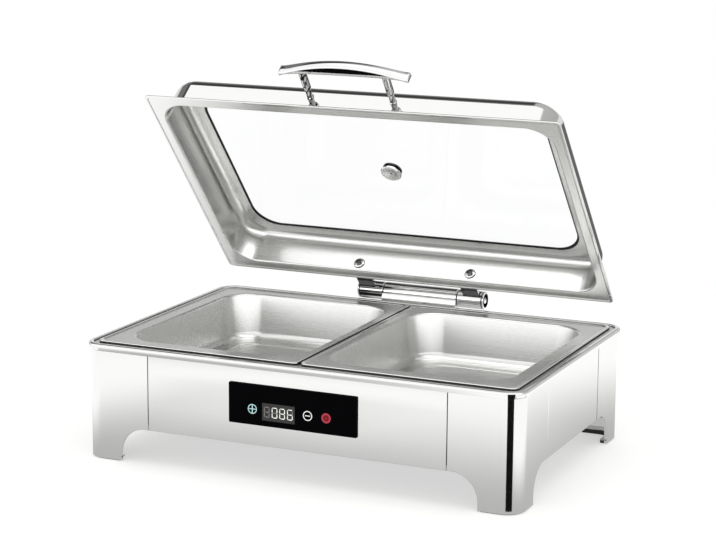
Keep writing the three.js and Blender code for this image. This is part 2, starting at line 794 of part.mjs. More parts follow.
function terminalBlock() {
  const low = coverTop + fit;
  const slotDepth = terminalHeight / 3;
  const body = block(terminalX - terminalHalfX, terminalX + terminalHalfX,
    terminalY - terminalHalfY, terminalY + terminalHalfY, low, terminalTop);
  const grooves = [-1, 0, 1].map((i) => {
    const x = terminalX + i * terminalHalfX / 2;
    return block(x - terminalSlot / 2, x + terminalSlot / 2, terminalY - terminalHalfY / 2,
      terminalY + terminalHalfY / 2, terminalTop - slotDepth, terminalTop + overrun);
  });
  return cut(body, ...grooves);
}

add(base, 'terminal_block', terminalBlock(), whiteFibre);

const leadLowZ = coverTop + terminalHeight / 2;
const leadBend = 6;
const leadSteps = 18;

function mainsLead(dx) {
  const x = inletCentreX + dx;
  const start = inletCentreZ - pinWidth - pinHeight / 2 - leadGap;
  const face = terminalY + terminalHalfY + leadGap;
  const dropY = rearFaceY - inletDepth - tabLength / 2;
  return wire([
    [x, dropY, start],
    [x, dropY, start - leadBend],
    [x, dropY, leadLowZ + leadBend],
    [x, dropY - leadBend / 2, leadLowZ + leadBend / 3],
    [x, dropY - leadBend * 1.5, leadLowZ],
    [x, face, leadLowZ],
  ], leadRadius, leadSteps);
}

add(base, 'mains_lead_live', mainsLead(-pinSpread), brownWire);
add(base, 'mains_lead_neutral', mainsLead(pinSpread), blueWire);

function heaterLead(dx, elementY) {
  const x = terminalX + dx;
  const face = terminalY - terminalHalfY - leadGap;
  const meet = elementRight + leadGap;
  return wire([
    [x, face, leadLowZ],
    [x, face - leadBend, leadLowZ],
    [x + (meet + leadBend * 2 - x) / 2, (face + heaterHalfY) / 2, elementZ],
    [meet + leadBend * 2, heaterHalfY - fibreMargin / 2, elementZ],
    [meet + leadBend * 2, elementY + leadBend * 2, elementZ],
    [meet + leadBend, elementY + leadBend / 4, elementZ],
    [meet, elementY, elementZ],
  ], leadRadius, leadSteps);
}

add(base, 'heater_lead', heaterLead(0, elementRun), brownWire);

// Ribbon cable from the touch board to the power board, round the end of the heater
const ribbonThick = 1.2;
const ribbonWide = 9;
const ribbonClear = 28;
const ribbonX = -heaterHalfX - ribbonClear;
const ribbonRear = powerFront - fit * 2 - ribbonThick;

function ribbon() {
  const low = coverTop + fit;
  const frontY = panelFaceY + housingDepth + fit;
  const lift = windowLow + housingWall;
  const riseTop = powerLow + ribbonWide;
  return join(
    block(ribbonX, -windowHalfWidth + housingLug, frontY, frontY + ribbonThick,
      lift, lift + ribbonWide),
    block(ribbonX, ribbonX + ribbonWide, frontY, frontY + ribbonThick, low, lift + ribbonWide),
    block(ribbonX, ribbonX + ribbonWide, frontY, ribbonRear + ribbonThick,
      low, low + ribbonThick),
    block(ribbonX, ribbonX + ribbonWide, ribbonRear, ribbonRear + ribbonThick, low, riseTop),
    block(ribbonX, powerLeft + ribbonWide, ribbonRear, ribbonRear + ribbonThick,
      riseTop - ribbonWide, riseTop),
  );
}

add(base, 'ribbon_cable', ribbon(), greyWire);

// Hinge on the back of the base: bracket with a saddle, the fixed centre tube, the damper
// inside it and two screws
const sleeveHalf = barrelLength / 2;
const tubeHalf = sleeveHalf - sleeveLength;
const tubeWall = 1.6;
const barrelGap = 0.4;
const bracketWing = 10;
const bracketHalfX = tubeHalf + bracketWing;
const bracketDeep = 9;
const bracketDrop = 43.5;
const bracketLow = bandUnderside - bracketDrop;
const saddleLip = 0.6;
const bracketEase = 5;
const bandClear = 0.6;
const damperWall = 0.4;
const axleRadius = 3;
const screwFromEnd = 10;
const screwRise = 16;
const screwX = tubeHalf - screwFromEnd;
const screwRadius = 4.2;
const screwHead = 2.6;
const screwShank = 2;
const hexSides = 6;
const screwZ = bracketLow + screwRise;

const barrelPiece = (profile, sides = 32) => turned(profile, sides).rotateY(Math.PI / 2);

function hingeBracket() {
  const back = halfDepth + fit;
  const under = bandUnderside - fit * 2;
  const clear = halfDepth + bandOverhang + bandClear;
  const deep = back + bracketDeep;
  const web = [
    [back, bracketLow], [deep - bracketEase, bracketLow], [deep, bracketLow + bracketEase],
    [deep + bracketEase / 2, under], [hingeY, hingeZ - barrelRadius - saddleLip],
    [hingeY, hingeZ], [hingeY - barrelRadius, hingeZ], [clear, hingeZ - barrelRadius / 2],
    [clear, under], [back, under],
  ];
  const saddle = sidePrism(web, -tubeHalf, tubeHalf);
  const foot = block(-bracketHalfX, bracketHalfX, back, back + sheet * 2, bracketLow, under);
  const bore = barrelPiece([[0, -tubeHalf - overrun], [barrelRadius + fit, -tubeHalf - overrun],
    [barrelRadius + fit, tubeHalf + overrun], [0, tubeHalf + overrun]])
    .translate(0, hingeY, hingeZ);
  const pockets = [-1, 1].map((side) => turned([
    [0, 0], [screwRadius + fit * 2, 0], [screwRadius + fit * 2, 1], [0, 1],
  ], 24).scale(1, 1, bracketDeep * 2).rotateX(-Math.PI / 2)
    .translate(side * screwX, back + sheet * 2, screwZ));
  return cut(join(saddle, foot), bore, ...pockets);
}

add(base, 'hinge_bracket', hingeBracket(), polishedSteel);
add(base, 'hinge_tube', barrelPiece([
  [barrelRadius - tubeWall, -tubeHalf],
  [barrelRadius, -tubeHalf],
  [barrelRadius, tubeHalf],
  [barrelRadius - tubeWall, tubeHalf],
  [barrelRadius - tubeWall, -tubeHalf],
]).translate(0, hingeY, hingeZ), chrome);
const damperRadius = barrelRadius - tubeWall - damperWall;
const damperHalf = tubeHalf - barrelGap;
add(base, 'hinge_damper', barrelPiece([
  [axleRadius + damperWall, -damperHalf],
  [damperRadius, -damperHalf],
  [damperRadius, damperHalf],
  [axleRadius + damperWall, damperHalf],
  [axleRadius + damperWall, -damperHalf],
], 24).translate(0, hingeY, hingeZ), galvanized);

function bracketScrew(x) {
  const seat = halfDepth + fit + sheet * 2 + fit;
  const head = turned([
    [0, 0], [screwRadius, 0], [screwRadius, screwHead / 2], [screwRadius / 2, screwHead],
    [0, screwHead],
  ], 20);
  const socket = turned([
    [0, screwHead / 2], [screwShank, screwHead / 2], [screwShank, screwHead + overrun],
    [0, screwHead + overrun],
  ], hexSides);
  return cut(head, socket).rotateX(-Math.PI / 2).translate(x, seat, screwZ);
}

add(base, 'bracket_screw_left', bracketScrew(-screwX), galvanized);
add(base, 'bracket_screw_right', bracketScrew(screwX), galvanized);

// Lid group: everything below is placed as with the lid closed, then turned open
const lidTurn = new THREE.Group();
lidTurn.position.set(0, hingeY, hingeZ);
lidTurn.rotation.x = -THREE.MathUtils.degToRad(lidOpenAngle);
base.add(lidTurn);
const lid = new THREE.Group();
lid.position.set(0, -hingeY, -hingeZ);
lidTurn.add(lid);

// Lid shell: beaded flange, drafted wall, round shoulder, ledge and a sunk seat for the glass
const lidSheet = 1.2;
const beadRise = 2.4;
const beadRun = 3;
const wallDraft = 1;
const wallBend = 1.5;
const shoulder = 11;
const ledgeRun = 31.2;
const seatDrop = 5.4;
const gasketLip = 2.6;
const flangeOuterCorner = 6;
const lidTopZ = lidUnderside + lidHeight;
const seatTop = lidTopZ - seatDrop;
const seatEdge = windowInset - gasketLip;
const flangeLow = lidUnderside + lidSheet / 2;
const wallFoot = lidFlange;
const wallTop = wallFoot + wallDraft;
const shoulderRun = wallTop + shoulder;
const roundIn = 1 - Math.SQRT1_2;

const lidProfile = [
  [0, lidUnderside + beadRise / 2],
  [beadRun / 4, lidUnderside + beadRise],
  [beadRun * 3 / 4, lidUnderside + beadRise],
  [beadRun, flangeLow + lidSheet],
  [wallFoot - wallBend, flangeLow + lidSheet],
  [wallFoot, flangeLow + lidSheet + wallBend],
  [wallTop, lidTopZ - shoulder],
  [wallTop + shoulder * roundIn / 3, lidTopZ - shoulder * 0.6],
  [wallTop + shoulder * roundIn, lidTopZ - shoulder * roundIn],
  [wallTop + shoulder * 0.6, lidTopZ - shoulder * roundIn / 3],
  [shoulderRun, lidTopZ],
  [ledgeRun - lidSheet / 2, lidTopZ],
  [ledgeRun, lidTopZ - lidSheet / 2],
  [ledgeRun, seatTop],
  [seatEdge, seatTop],
  [seatEdge, seatTop - lidSheet],
  [ledgeRun - lidSheet / 2, seatTop - lidSheet],
  [ledgeRun - lidSheet, seatTop - lidSheet / 2],
  [ledgeRun - lidSheet, lidTopZ - lidSheet],
  [shoulderRun, lidTopZ - lidSheet],
  [wallTop + lidSheet + shoulder * roundIn, lidTopZ - lidSheet - shoulder * roundIn],
  [wallTop + lidSheet, lidTopZ - shoulder],
  [wallFoot + lidSheet, flangeLow + lidSheet + wallBend],
  [wallFoot - wallBend, flangeLow],
  [beadRun, flangeLow],
  [beadRun * 3 / 4, lidUnderside],
  [beadRun / 4, lidUnderside],
];

// The flange has nearly square corners and the wall inside it large round ones
function lidCornerAt(inset) {
  if (inset <= beadRun) return flangeOuterCorner;
  const into = Math.min(1, (inset - beadRun) / (wallFoot - wallBend - beadRun));
  return THREE.MathUtils.lerp(flangeOuterCorner, lidWallCorner, into);
}

const lidPress = (profile, endless) => pressing(lidWidth / 2, lidDepth / 2, lidCornerAt, profile,
  0, lidCentreY, endless);
const shellBlank = lidPress(lidProfile, true);

// Lid fixings: two hinge screws through the rear wall and two handle screws through the front
const hingeScrewFromEnd = 11;
const hingeScrewRise = 12;
const handlePostFromTip = 30;
const handleScrewRise = 12.5;
const fixingHole = 2.6;
const hingeScrewX = sleeveHalf - hingeScrewFromEnd;
const handlePostX = handleLength / 2 - handlePostFromTip;
const rearWallY = lidBackEdge - wallFoot;
const frontWallY = lidBackEdge - lidDepth + wallFoot;

function drillY(x, y, z) {
  return turned([[0, -1], [fixingHole, -1], [fixingHole, 1], [0, 1]], 16)
    .scale(1, 1, lidSheet * 4).rotateX(Math.PI / 2).translate(x, y, z);
}

const hingeScrewZ = flangeLow + hingeScrewRise;
const handleScrewZ = flangeLow + handleScrewRise;
const shell = cut(
  shellBlank,
  drillY(-hingeScrewX, rearWallY, hingeScrewZ),
  drillY(hingeScrewX, rearWallY, hingeScrewZ),
  drillY(handleShift - handlePostX, frontWallY, handleScrewZ),
  drillY(handleShift + handlePostX, frontWallY, handleScrewZ),
);
add(lid, 'lid_shell', shell, polishedSteel);

// Window: a black gasket lines the sunk seat and the toughened pane lies in it, flush
const gasketSheet = 0.8;
const gasketSide = 1.5;
const gasketOutside = ledgeRun + fit;
const gasketLow = seatTop + fit;
const glassLow = gasketLow + gasketSheet + fit;
const glassInset = gasketOutside + gasketSide + fit;
add(lid, 'glass_gasket', lidPress([
  [gasketOutside, gasketLow],
  [gasketOutside, lidTopZ],
  [gasketOutside + gasketSide, lidTopZ],
  [gasketOutside + gasketSide, gasketLow + gasketSheet],
  [windowInset, gasketLow + gasketSheet],
  [windowInset, gasketLow],
], true), blackRubber);

const ventBore = 5.5;
const pane = cut(
  lidPress([[glassInset, glassLow], [glassInset, glassLow + glassThickness]], false),
  turned([[0, -1], [ventBore, -1], [ventBore, 1], [0, 1]], 24)
    .scale(1, 1, glassThickness * 2).translate(0, lidCentreY, glassLow + glassThickness / 2),
);
add(lid, 'lid_glass', pane, clearGlass);

// Steam vent in the middle of the pane: body with an inner disc, and a cap that turns on it
const ventDisc = 13.5;
const ventDiscSheet = 3;
const ventPinhole = 1.1;
const ventStemWall = 0.9;
const capRadius = 12.5;
const capHeight = 4;
const capRim = 2;
const capTop = 8.5;
const discEase = 1.5;
const capRoof = 1.2;
const ventSlots = 6;
const ventSlotWidth = 3;
const ventSlotHeight = 0.8;
const glassHigh = glassLow + glassThickness;
const discTop = glassLow - fit;
const stemRadius = ventBore - fit;
const stemTop = glassHigh + capHeight - capRoof - fit * 2;

add(lid, 'vent_body', turned([
  [ventPinhole, discTop - ventDiscSheet],
  [ventDisc - discEase, discTop - ventDiscSheet],
  [ventDisc, discTop - ventDiscSheet + discEase / 2],
  [ventDisc, discTop - discEase / 2],
  [ventDisc - discEase / 2, discTop],
  [stemRadius, discTop],
  [stemRadius, stemTop],
  [stemRadius - ventStemWall, stemTop],
  [ventPinhole, discTop],
  [ventPinhole, discTop - ventDiscSheet],
]).translate(0, lidCentreY, 0), chrome);

function ventCap() {
  const low = glassHigh + fit;
  const high = low + capHeight;
  const bore = stemRadius + fit;
  const body = turned([
    [bore, low], [capRadius, low], [capRadius, low + capRim], [capTop, high],
    [0, high], [0, stemTop + fit], [bore, stemTop + fit], [bore, low],
  ]);
  const grooves = [];
  for (let i = 0; i < ventSlots; i += 1) {
    grooves.push(block(0, capRadius * 2, -ventSlotWidth / 2, ventSlotWidth / 2,
      low + ventSlotHeight, low + ventSlotHeight * 2).rotateZ((i / ventSlots) * 2 * Math.PI));
  }
  return cut(body, ...grooves).translate(0, lidCentreY, 0);
}

add(lid, 'vent_cap', ventCap(), chrome);

// Handle: a bowed bar with flared ends on two turned posts, screwed through the front wall
const handleReach = 57;
const handleThick = 15;
const handleBow = 17;
const handleFlick = 2.5;
const handleTip = 6;
const handleInnerBow = 1.5;
const handleWaist = 12;
const handleFlare = 14;
const handleRise = 19;
const postTopRadius = 4.7;
const postFootRadius = 3.6;
const postFlange = 6.5;
const postFlangeSheet = 1.6;
const postGroove = 0.8;
const postLean = 5.4;
const barSteps = 16;
const handleMidZ = flangeLow + handleRise;
const underY = frontWallY - handleReach;

const barShares = Array.from({ length: barSteps + 1 }, (_, i) => (i / barSteps) * 2 - 1);
const barHalf = handleLength / 2;
const tipOutside = handleBow - handleThick - handleFlick;
const tipInside = tipOutside + handleTip;
const tipAt = (share) => share ** 12;
const innerCurve = barShares.map((share) => [share * barHalf,
  handleInnerBow * share ** 2 + (tipInside - handleInnerBow) * tipAt(share)]);

function handleBar() {
  const outerCurve = barShares.map((share) =>
    [share * barHalf, handleBow * share ** 2 - handleThick - handleFlick * tipAt(share)]);
  const widths = barShares.map((share) =>
    THREE.MathUtils.lerp(handleWaist, handleFlare, share ** 4) / 2);
  const low = barShares.map((share, i) => [share * barHalf, -widths[i]]);
  const high = barShares.map((share, i) => [share * barHalf, widths[i]]);
  const bowed = plate([...innerCurve, ...outerCurve.reverse()], -handleFlare, handleFlare);
  const flared = frontPrism([...low, ...high.reverse()], -handleLength, handleLength);
  const bar = surface(solid(bowed).intersect(solid(flared)));
  return bar.translate(handleShift, underY, handleMidZ);
}

add(lid, 'handle_bar', handleBar(), chrome);

// Post leaning up from the wall, its head trimmed to the bar's inner curve
function handlePost(side) {
  const run = handleReach - fit;
  const leaning = new THREE.Matrix4().makeShear(0, 0, 0, 0, 0, postLean / handleReach);
  const post = turned([
    [0, 0],
    [postFlange, 0],
    [postFlange, postFlangeSheet],
    [postFootRadius, postFlangeSheet + postGroove],
    [postFootRadius + postGroove / 2, run / 2],
    [postFootRadius, run / 2 + postGroove],
    [postTopRadius - postGroove, run / 2 + postGroove * 3],
    [postTopRadius, run * 0.9],
    [postTopRadius, run],
    [0, run],
  ], 24).applyMatrix4(leaning).rotateX(Math.PI / 2)
    .translate(handleShift + side * handlePostX, frontWallY - fit, handleScrewZ);
  const beyond = [[barHalf, -handleThick], [-barHalf, -handleThick]];
  const past = plate([...innerCurve, ...beyond], -handleFlare, handleFlare)
    .translate(handleShift, underY + fit, handleMidZ);
  return cut(post, past);
}

add(lid, 'handle_post_left', handlePost(-1), chrome);
add(lid, 'handle_post_right', handlePost(1), chrome);

// Cross-head screws and cup washers on the inside of the lid walls
const lidScrewRadius = 3.6;
const lidScrewHead = 1.8;
const crossArm = 0.8;
const crossReach = 2.2;
const washerRadius = 6.4;
const washerBore = 4;
const washerRise = 1.6;
const innerRearY = rearWallY - lidSheet - wallDraft / 2;
const innerFrontY = frontWallY + lidSheet + wallDraft / 2;

function crossScrew(rise) {
  const head = turned([
    [0, 0], [lidScrewRadius, 0], [lidScrewRadius, lidScrewHead / 3],
    [lidScrewRadius * 0.6, lidScrewHead], [0, lidScrewHead],
  ], 20);
  const deep = lidScrewHead / 2;
  return cut(head,
    block(-crossReach, crossReach, -crossArm / 2, crossArm / 2, deep, lidScrewHead + overrun),
    block(-crossArm / 2, crossArm / 2, -crossReach, crossReach, deep, lidScrewHead + overrun),
  ).translate(0, 0, rise);
}

const cupWasher = () => turned([
  [washerBore, 0], [washerRadius, 0], [washerRadius - washerRise / 3, washerRise / 2],
  [washerBore + washerRise / 3, washerRise], [washerBore, washerRise * 0.8], [washerBore, 0],
], 24);

for (const [side, word] of [[-1, 'left'], [1, 'right']]) {
  const onRear = (piece) => piece.rotateX(Math.PI / 2)
    .translate(side * hingeScrewX, innerRearY - fit, hingeScrewZ);
  const onFront = (piece) => piece.rotateX(-Math.PI / 2)
    .translate(handleShift + side * handlePostX, innerFrontY + fit, handleScrewZ);
  add(lid, `hinge_washer_${word}`, onRear(cupWasher()), chrome);
  add(lid, `hinge_screw_${word}`, onRear(crossScrew(0)), chrome);
  add(lid, `handle_screw_${word}`, onFront(crossScrew(0)), chrome);
}

// Hinge arms: an end sleeve on the barrel line with a bent strap up the lid's rear wall
const sleeveStart = tubeHalf + barrelGap;
const strapSheet = 3;
const strapInset = 10;
const strapTop = 22;
const strapGap = 0.6;
const capSheet = 2.4;
const capRing = 3.2;
const capRecess = 1.2;
const sleeveEnd = sleeveHalf - capSheet - barrelGap;
const strapInner = tubeHalf + strapInset;

function hingeArm() {
  const wallBack = rearWallY + strapGap;
  const low = flangeLow + lidSheet + beadRise / 2 + strapGap;
  const strap = [
    [wallBack, low], [hingeY, low], [hingeY, low + strapSheet],
    [wallBack + strapSheet + strapGap, low + strapSheet],
    [wallBack + strapSheet, low + strapSheet + strapGap],
    [wallBack + strapSheet - wallDraft, flangeLow + strapTop],
    [wallBack - wallDraft / 2, flangeLow + strapTop],
  ];
  const solidSleeve = barrelPiece([
    [0, sleeveStart], [barrelRadius, sleeveStart], [barrelRadius, sleeveEnd], [0, sleeveEnd],
  ]).translate(0, hingeY, hingeZ);
  const bore = barrelPiece([
    [0, sleeveStart - overrun], [axleRadius + damperWall, sleeveStart - overrun],
    [axleRadius + damperWall, sleeveEnd + overrun], [0, sleeveEnd + overrun],
  ], 24).translate(0, hingeY, hingeZ);
  return cut(join(sidePrism(strap, strapInner, sleeveEnd), solidSleeve), bore);
}

const rightArm = hingeArm();
add(lid, 'hinge_arm_right', rightArm, chrome);
add(lid, 'hinge_arm_left', mirrorX(rightArm), chrome);

function hingeCap() {
  const start = sleeveHalf - capSheet;
  return barrelPiece([
    [0, start], [barrelRadius, start], [barrelRadius, sleeveHalf - capRecess / 2],
    [barrelRadius - capRecess / 2, sleeveHalf], [barrelRadius - capRing, sleeveHalf],
    [barrelRadius - capRing - capRecess, sleeveHalf - capRecess],
    [axleRadius + capRecess, sleeveHalf - capRecess],
    [axleRadius, sleeveHalf - capRecess / 2], [0, sleeveHalf - capRecess / 2],
  ]).translate(0, hingeY, hingeZ);
}

add(lid, 'hinge_cap_right', hingeCap(), chrome);
add(lid, 'hinge_cap_left', mirrorX(hingeCap()), chrome);
const axleHalf = sleeveHalf - capSheet - fit;
add(lid, 'hinge_axle', barrelPiece([
  [0, -axleHalf], [axleRadius, -axleHalf], [axleRadius, axleHalf], [0, axleHalf],
], 24).translate(0, hingeY, hingeZ), galvanized);

// The origin is on the ground under the middle of the whole outline, barrel to front band
const frontReach = halfDepth + bandOverhang;
const rearReach = hingeY + barrelRadius;
base.position.y = (frontReach - rearReach) / 2;

export default dish;
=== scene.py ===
# Electric chafing dish: a steel food warmer with two lift-out pans and a glazed lid on a barrel
# hinge. Metres, +Z up, the touch panel towards -Y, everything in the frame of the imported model.

import json
import math

import bmesh
import bpy
from mathutils import Matrix, Vector


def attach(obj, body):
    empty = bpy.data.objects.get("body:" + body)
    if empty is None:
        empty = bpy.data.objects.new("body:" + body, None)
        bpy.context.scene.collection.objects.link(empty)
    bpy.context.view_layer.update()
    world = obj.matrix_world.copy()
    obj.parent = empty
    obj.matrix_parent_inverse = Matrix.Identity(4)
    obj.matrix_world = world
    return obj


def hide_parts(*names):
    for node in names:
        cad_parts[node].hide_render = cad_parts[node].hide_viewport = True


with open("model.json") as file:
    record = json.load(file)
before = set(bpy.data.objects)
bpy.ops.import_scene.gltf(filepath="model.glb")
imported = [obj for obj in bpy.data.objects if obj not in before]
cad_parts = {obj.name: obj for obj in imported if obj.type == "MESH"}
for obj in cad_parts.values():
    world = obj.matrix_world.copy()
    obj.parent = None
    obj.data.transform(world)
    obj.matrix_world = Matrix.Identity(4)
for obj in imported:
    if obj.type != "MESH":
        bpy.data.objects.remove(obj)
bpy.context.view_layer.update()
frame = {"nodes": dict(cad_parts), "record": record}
mm = 0.001

# Camera: a long lens to the right of the front, looking a little down into the pans, with the
# small roll that the picture has.
view_turn = math.radians(24.075)
view_pitch = math.radians(11.64)
view_roll = math.radians(0.404)
view_distance = 2651.6 * mm
view_target = Vector((-1.58, -13.5, 222.7)) * mm
camera_data = bpy.data.cameras.new("view")
camera_data.sensor_width = 36
camera_data.lens = 108.8
camera_data.clip_end = 50
camera = bpy.data.objects.new("view", camera_data)
view_axes = (Matrix.Rotation(view_turn, 4, "Z") @ Matrix.Rotation(math.pi / 2 - view_pitch, 4, "X")
             @ Matrix.Rotation(view_roll, 4, "Z"))
camera.matrix_world = (Matrix.Translation(view_target) @ view_axes
                       @ Matrix.Translation((0, 0, view_distance)))
bpy.context.scene.collection.objects.link(camera)
bpy.context.scene.camera = camera
bpy.context.scene.view_settings.view_transform = "Standard"

# Studio: soft white light all round on a white background. Bare metal mirrors bands of light and
# dark instead, set by direction to match the photograph: a lit cloth in front, a dark room behind
# and above. They are dimmer from the second mirroring on, except straight overhead.
world = bpy.data.worlds.new("studio")
bpy.context.scene.world = world
world.use_nodes = True
world.cycles.sampling_method = "NONE"


def node(tree, kind, *sources, **settings):
    made = tree.nodes.new(kind)
    for name, value in settings.items():
        if hasattr(made, name):
            setattr(made, name, value)
        else:
            made.inputs[name.replace("_", " ")].default_value = value
    for entry, source in zip(made.inputs, sources):
        whole = isinstance(source, bpy.types.Node)
        tree.links.new(source.outputs[0] if whole else source, entry)
    return made


def ramp(tree, source, *stops):
    made = node(tree, "ShaderNodeValToRGB", source)
    made.color_ramp.interpolation = "EASE"
    while len(made.color_ramp.elements) < len(stops):
        made.color_ramp.elements.new(0.5)
    for element, (place, tone) in zip(made.color_ramp.elements, stops):
        element.position = place
        element.color = (*tone, 1) if isinstance(tone, tuple) else (tone, tone, tone, 1)
    return made


def studio_light():
    tree = world.node_tree
    tree.nodes.clear()
    direction = node(tree, "ShaderNodeTexCoord")
    parts = node(tree, "ShaderNodeSeparateXYZ", direction.outputs["Generated"])
    height = node(tree, "ShaderNodeMapRange", parts.outputs["Z"], From_Min=-1)
    rear_wall = ramp(tree, height, (0.0, 0.8), (0.3, 0.6), (0.38, 0.14), (0.47, 0.14), (0.52, 0.8),
                     (0.62, 0.8), (0.68, 0.18), (0.83, 0.18), (0.86, 0.05), (0.93, 0.05),
                     (1.0, 0.4))
    front_wall = ramp(tree, height, (0.0, 0.9), (0.47, 0.9), (0.485, 0.2), (0.497, 0.2),
                      (0.515, 1.6), (0.62, 1.6), (0.68, 1.0), (0.9, 1.0), (0.95, 1.1))
    side_wall = ramp(tree, height, (0.55, 0.0), (0.65, 0.45), (1.0, 0.5))
    depth = node(tree, "ShaderNodeMapRange", parts.outputs["Y"], interpolation_type="SMOOTHSTEP",
                 From_Min=0.06, From_Max=0.09)
    aside = node(tree, "ShaderNodeMapRange", parts.outputs["X"], interpolation_type="SMOOTHSTEP",
                 From_Min=-0.28, From_Max=-0.1)
    side = node(tree, "ShaderNodeMath", aside, side_wall, operation="MULTIPLY")
    rear = node(tree, "ShaderNodeMath", rear_wall, side, operation="MAXIMUM")
    walls = node(tree, "ShaderNodeMix", data_type="RGBA")
    tree.links.new(depth.outputs["Result"], walls.inputs["Factor"])
    tree.links.new(front_wall.outputs["Color"], walls.inputs["A"])
    tree.links.new(rear.outputs["Value"], walls.inputs["B"])
    path = node(tree, "ShaderNodeLightPath")
    again = node(tree, "ShaderNodeMapRange", path.outputs["Glossy Depth"], From_Min=1.0,
                 From_Max=2.0, To_Min=1.0, To_Max=0.38)
    overhead = node(tree, "ShaderNodeMapRange", height, From_Min=0.9, From_Max=0.95)
    kept = node(tree, "ShaderNodeMath", again, overhead, operation="MAXIMUM")
    mirrored = node(tree, "ShaderNodeBackground", walls.outputs["Result"], kept)
    backdrop = node(tree, "ShaderNodeBackground", Strength=1.0, Color=(1, 1, 1, 1))
    soft = node(tree, "ShaderNodeBackground", Strength=0.8, Color=(1, 1, 0.99, 1))
    seen = node(tree, "ShaderNodeMath", path.outputs["Is Camera Ray"],
                path.outputs["Is Transmission Ray"], operation="MAXIMUM")
    plain = node(tree, "ShaderNodeMixShader", seen, soft, backdrop)
    bounced = node(tree, "ShaderNodeMath", path.outputs["Glossy Depth"], operation="GREATER_THAN")
    bounced.inputs[1].default_value = 0.5
    whole = node(tree, "ShaderNodeMixShader", bounced, plain, mirrored)
    node(tree, "ShaderNodeOutputWorld", whole)


studio_light()
ceiling_data = bpy.data.lights.new("ceiling_cloth", "AREA")
ceiling_data.shape = "RECTANGLE"
ceiling_data.size = 2.4
ceiling_data.size_y = 2.0
ceiling_data.energy = 14
ceiling = bpy.data.objects.new("ceiling_cloth", ceiling_data)
ceiling_lean = math.radians(-12)
ceiling.matrix_world = (Matrix.Translation((0.3, -0.5, 2.2))
                        @ Matrix.Rotation(ceiling_lean, 4, "X"))
ceiling.visible_glossy = False
bpy.context.scene.collection.objects.link(ceiling)

# Table: a round white board that fades out at its rim, so it keeps the shadow of the dish and
# never shows an edge. Metal mirrors a painted shadow on it round the base, brighter further out.
table_solid = 0.8
table_radius = 1.3
base_centre_y = -13.5 * mm
half_width = 280 * mm
half_depth = 186.5 * mm
table = bpy.data.objects.new("table", bpy.data.meshes.new("table"))
shape = bmesh.new()
bmesh.ops.create_circle(shape, cap_ends=True, segments=96, radius=table_radius)
shape.to_mesh(table.data)
shape.free()
board = bpy.data.materials.new("table_board")
board.use_nodes = True


def table_finish():
    tree = board.node_tree
    tree.nodes.clear()
    place = node(tree, "ShaderNodeTexCoord")
    away = node(tree, "ShaderNodeVectorMath", place.outputs["Object"], operation="LENGTH")
    fade = node(tree, "ShaderNodeMapRange", away.outputs["Value"],
                interpolation_type="SMOOTHSTEP", From_Min=table_solid, From_Max=table_radius)
    paint = node(tree, "ShaderNodeBsdfDiffuse", Color=(0.93, 0.93, 0.92, 1))
    pale = node(tree, "ShaderNodeBsdfDiffuse", Color=(0.62, 0.62, 0.61, 1))
    white = node(tree, "ShaderNodeEmission", Color=(1, 1, 0.99, 1), Strength=0.48)
    shown = node(tree, "ShaderNodeAddShader", pale, white)
    spot = place.outputs["Object"]
    for operation, amount in (
            ("SUBTRACT", (0, base_centre_y, 0)), ("ABSOLUTE", (0, 0, 0)),
            ("SUBTRACT", (half_width, half_depth, 0)), ("MAXIMUM", (0, 0, 0)),
            ("MULTIPLY", (2, 1, 0))):
        step = node(tree, "ShaderNodeVectorMath", spot, operation=operation)
        step.inputs[1].default_value = amount
        spot = step.outputs["Vector"]
    # Mirrored rays see a painted shadow round the base, which fades out further away.
    reach = node(tree, "ShaderNodeVectorMath", spot, operation="LENGTH")
    mirrored = node(tree, "ShaderNodeMapRange", reach.outputs["Value"],
                    interpolation_type="SMOOTHSTEP", From_Max=0.5, To_Min=0.52, To_Max=1.1)
    mirrored_painted_shadow = node(tree, "ShaderNodeEmission")
    tree.links.new(mirrored.outputs["Result"], mirrored_painted_shadow.inputs["Strength"])
    path = node(tree, "ShaderNodeLightPath")
    straight = node(tree, "ShaderNodeMath", path.outputs["Is Camera Ray"],
                    path.outputs["Is Glossy Ray"], operation="MAXIMUM")
    seen = node(tree, "ShaderNodeMath", straight, path.outputs["Is Transmission Ray"],
                operation="MAXIMUM")
    top = node(tree, "ShaderNodeMixShader", seen, paint, shown)
    bounced = node(tree, "ShaderNodeMath", path.outputs["Glossy Depth"], operation="GREATER_THAN")
    bounced.inputs[1].default_value = 0.5
    whole = node(tree, "ShaderNodeMixShader", bounced, top, mirrored_painted_shadow)
    clear = node(tree, "ShaderNodeBsdfTransparent")
    mix = node(tree, "ShaderNodeMixShader", fade, whole, clear)
    node(tree, "ShaderNodeOutputMaterial", mix)


table_finish()
table.data.materials.append(board)
bpy.context.scene.collection.objects.link(table)

# Black card: a strip of felt on a stand close to the round front corner. Only polished metal
# shows it, as the dark stripe down that corner.
felt = bpy.data.materials.new("black_felt")
felt.use_nodes = True
felt_shader = felt.node_tree.nodes["Principled BSDF"]
felt_shader.inputs["Base Color"].default_value = (0.006, 0.006, 0.006, 1)
felt_shader.inputs["Roughness"].default_value = 1
strip_half_width = 8.2 * mm
strip_height = 143 * mm
strip_away = 36 * mm
strip_corner = (0.257, -0.177, 0)
strip_way = math.radians(30)
strip = bpy.data.objects.new("felt_right", bpy.data.meshes.new("felt_right"))
shape = bmesh.new()
bmesh.ops.create_grid(shape, x_segments=1, y_segments=1, size=0.5)
for vert in shape.verts:
    vert.co = (vert.co.x * 2 * strip_half_width, -strip_away, (vert.co.y + 0.5) * strip_height)
shape.transform(Matrix.Translation(strip_corner) @ Matrix.Rotation(strip_way, 4, "Z"))
shape.to_mesh(strip.data)
shape.free()
strip.data.materials.append(felt)
strip.visible_camera = False
strip.visible_diffuse = False
strip.visible_shadow = False
strip.visible_transmission = False
bpy.context.scene.collection.objects.link(strip)
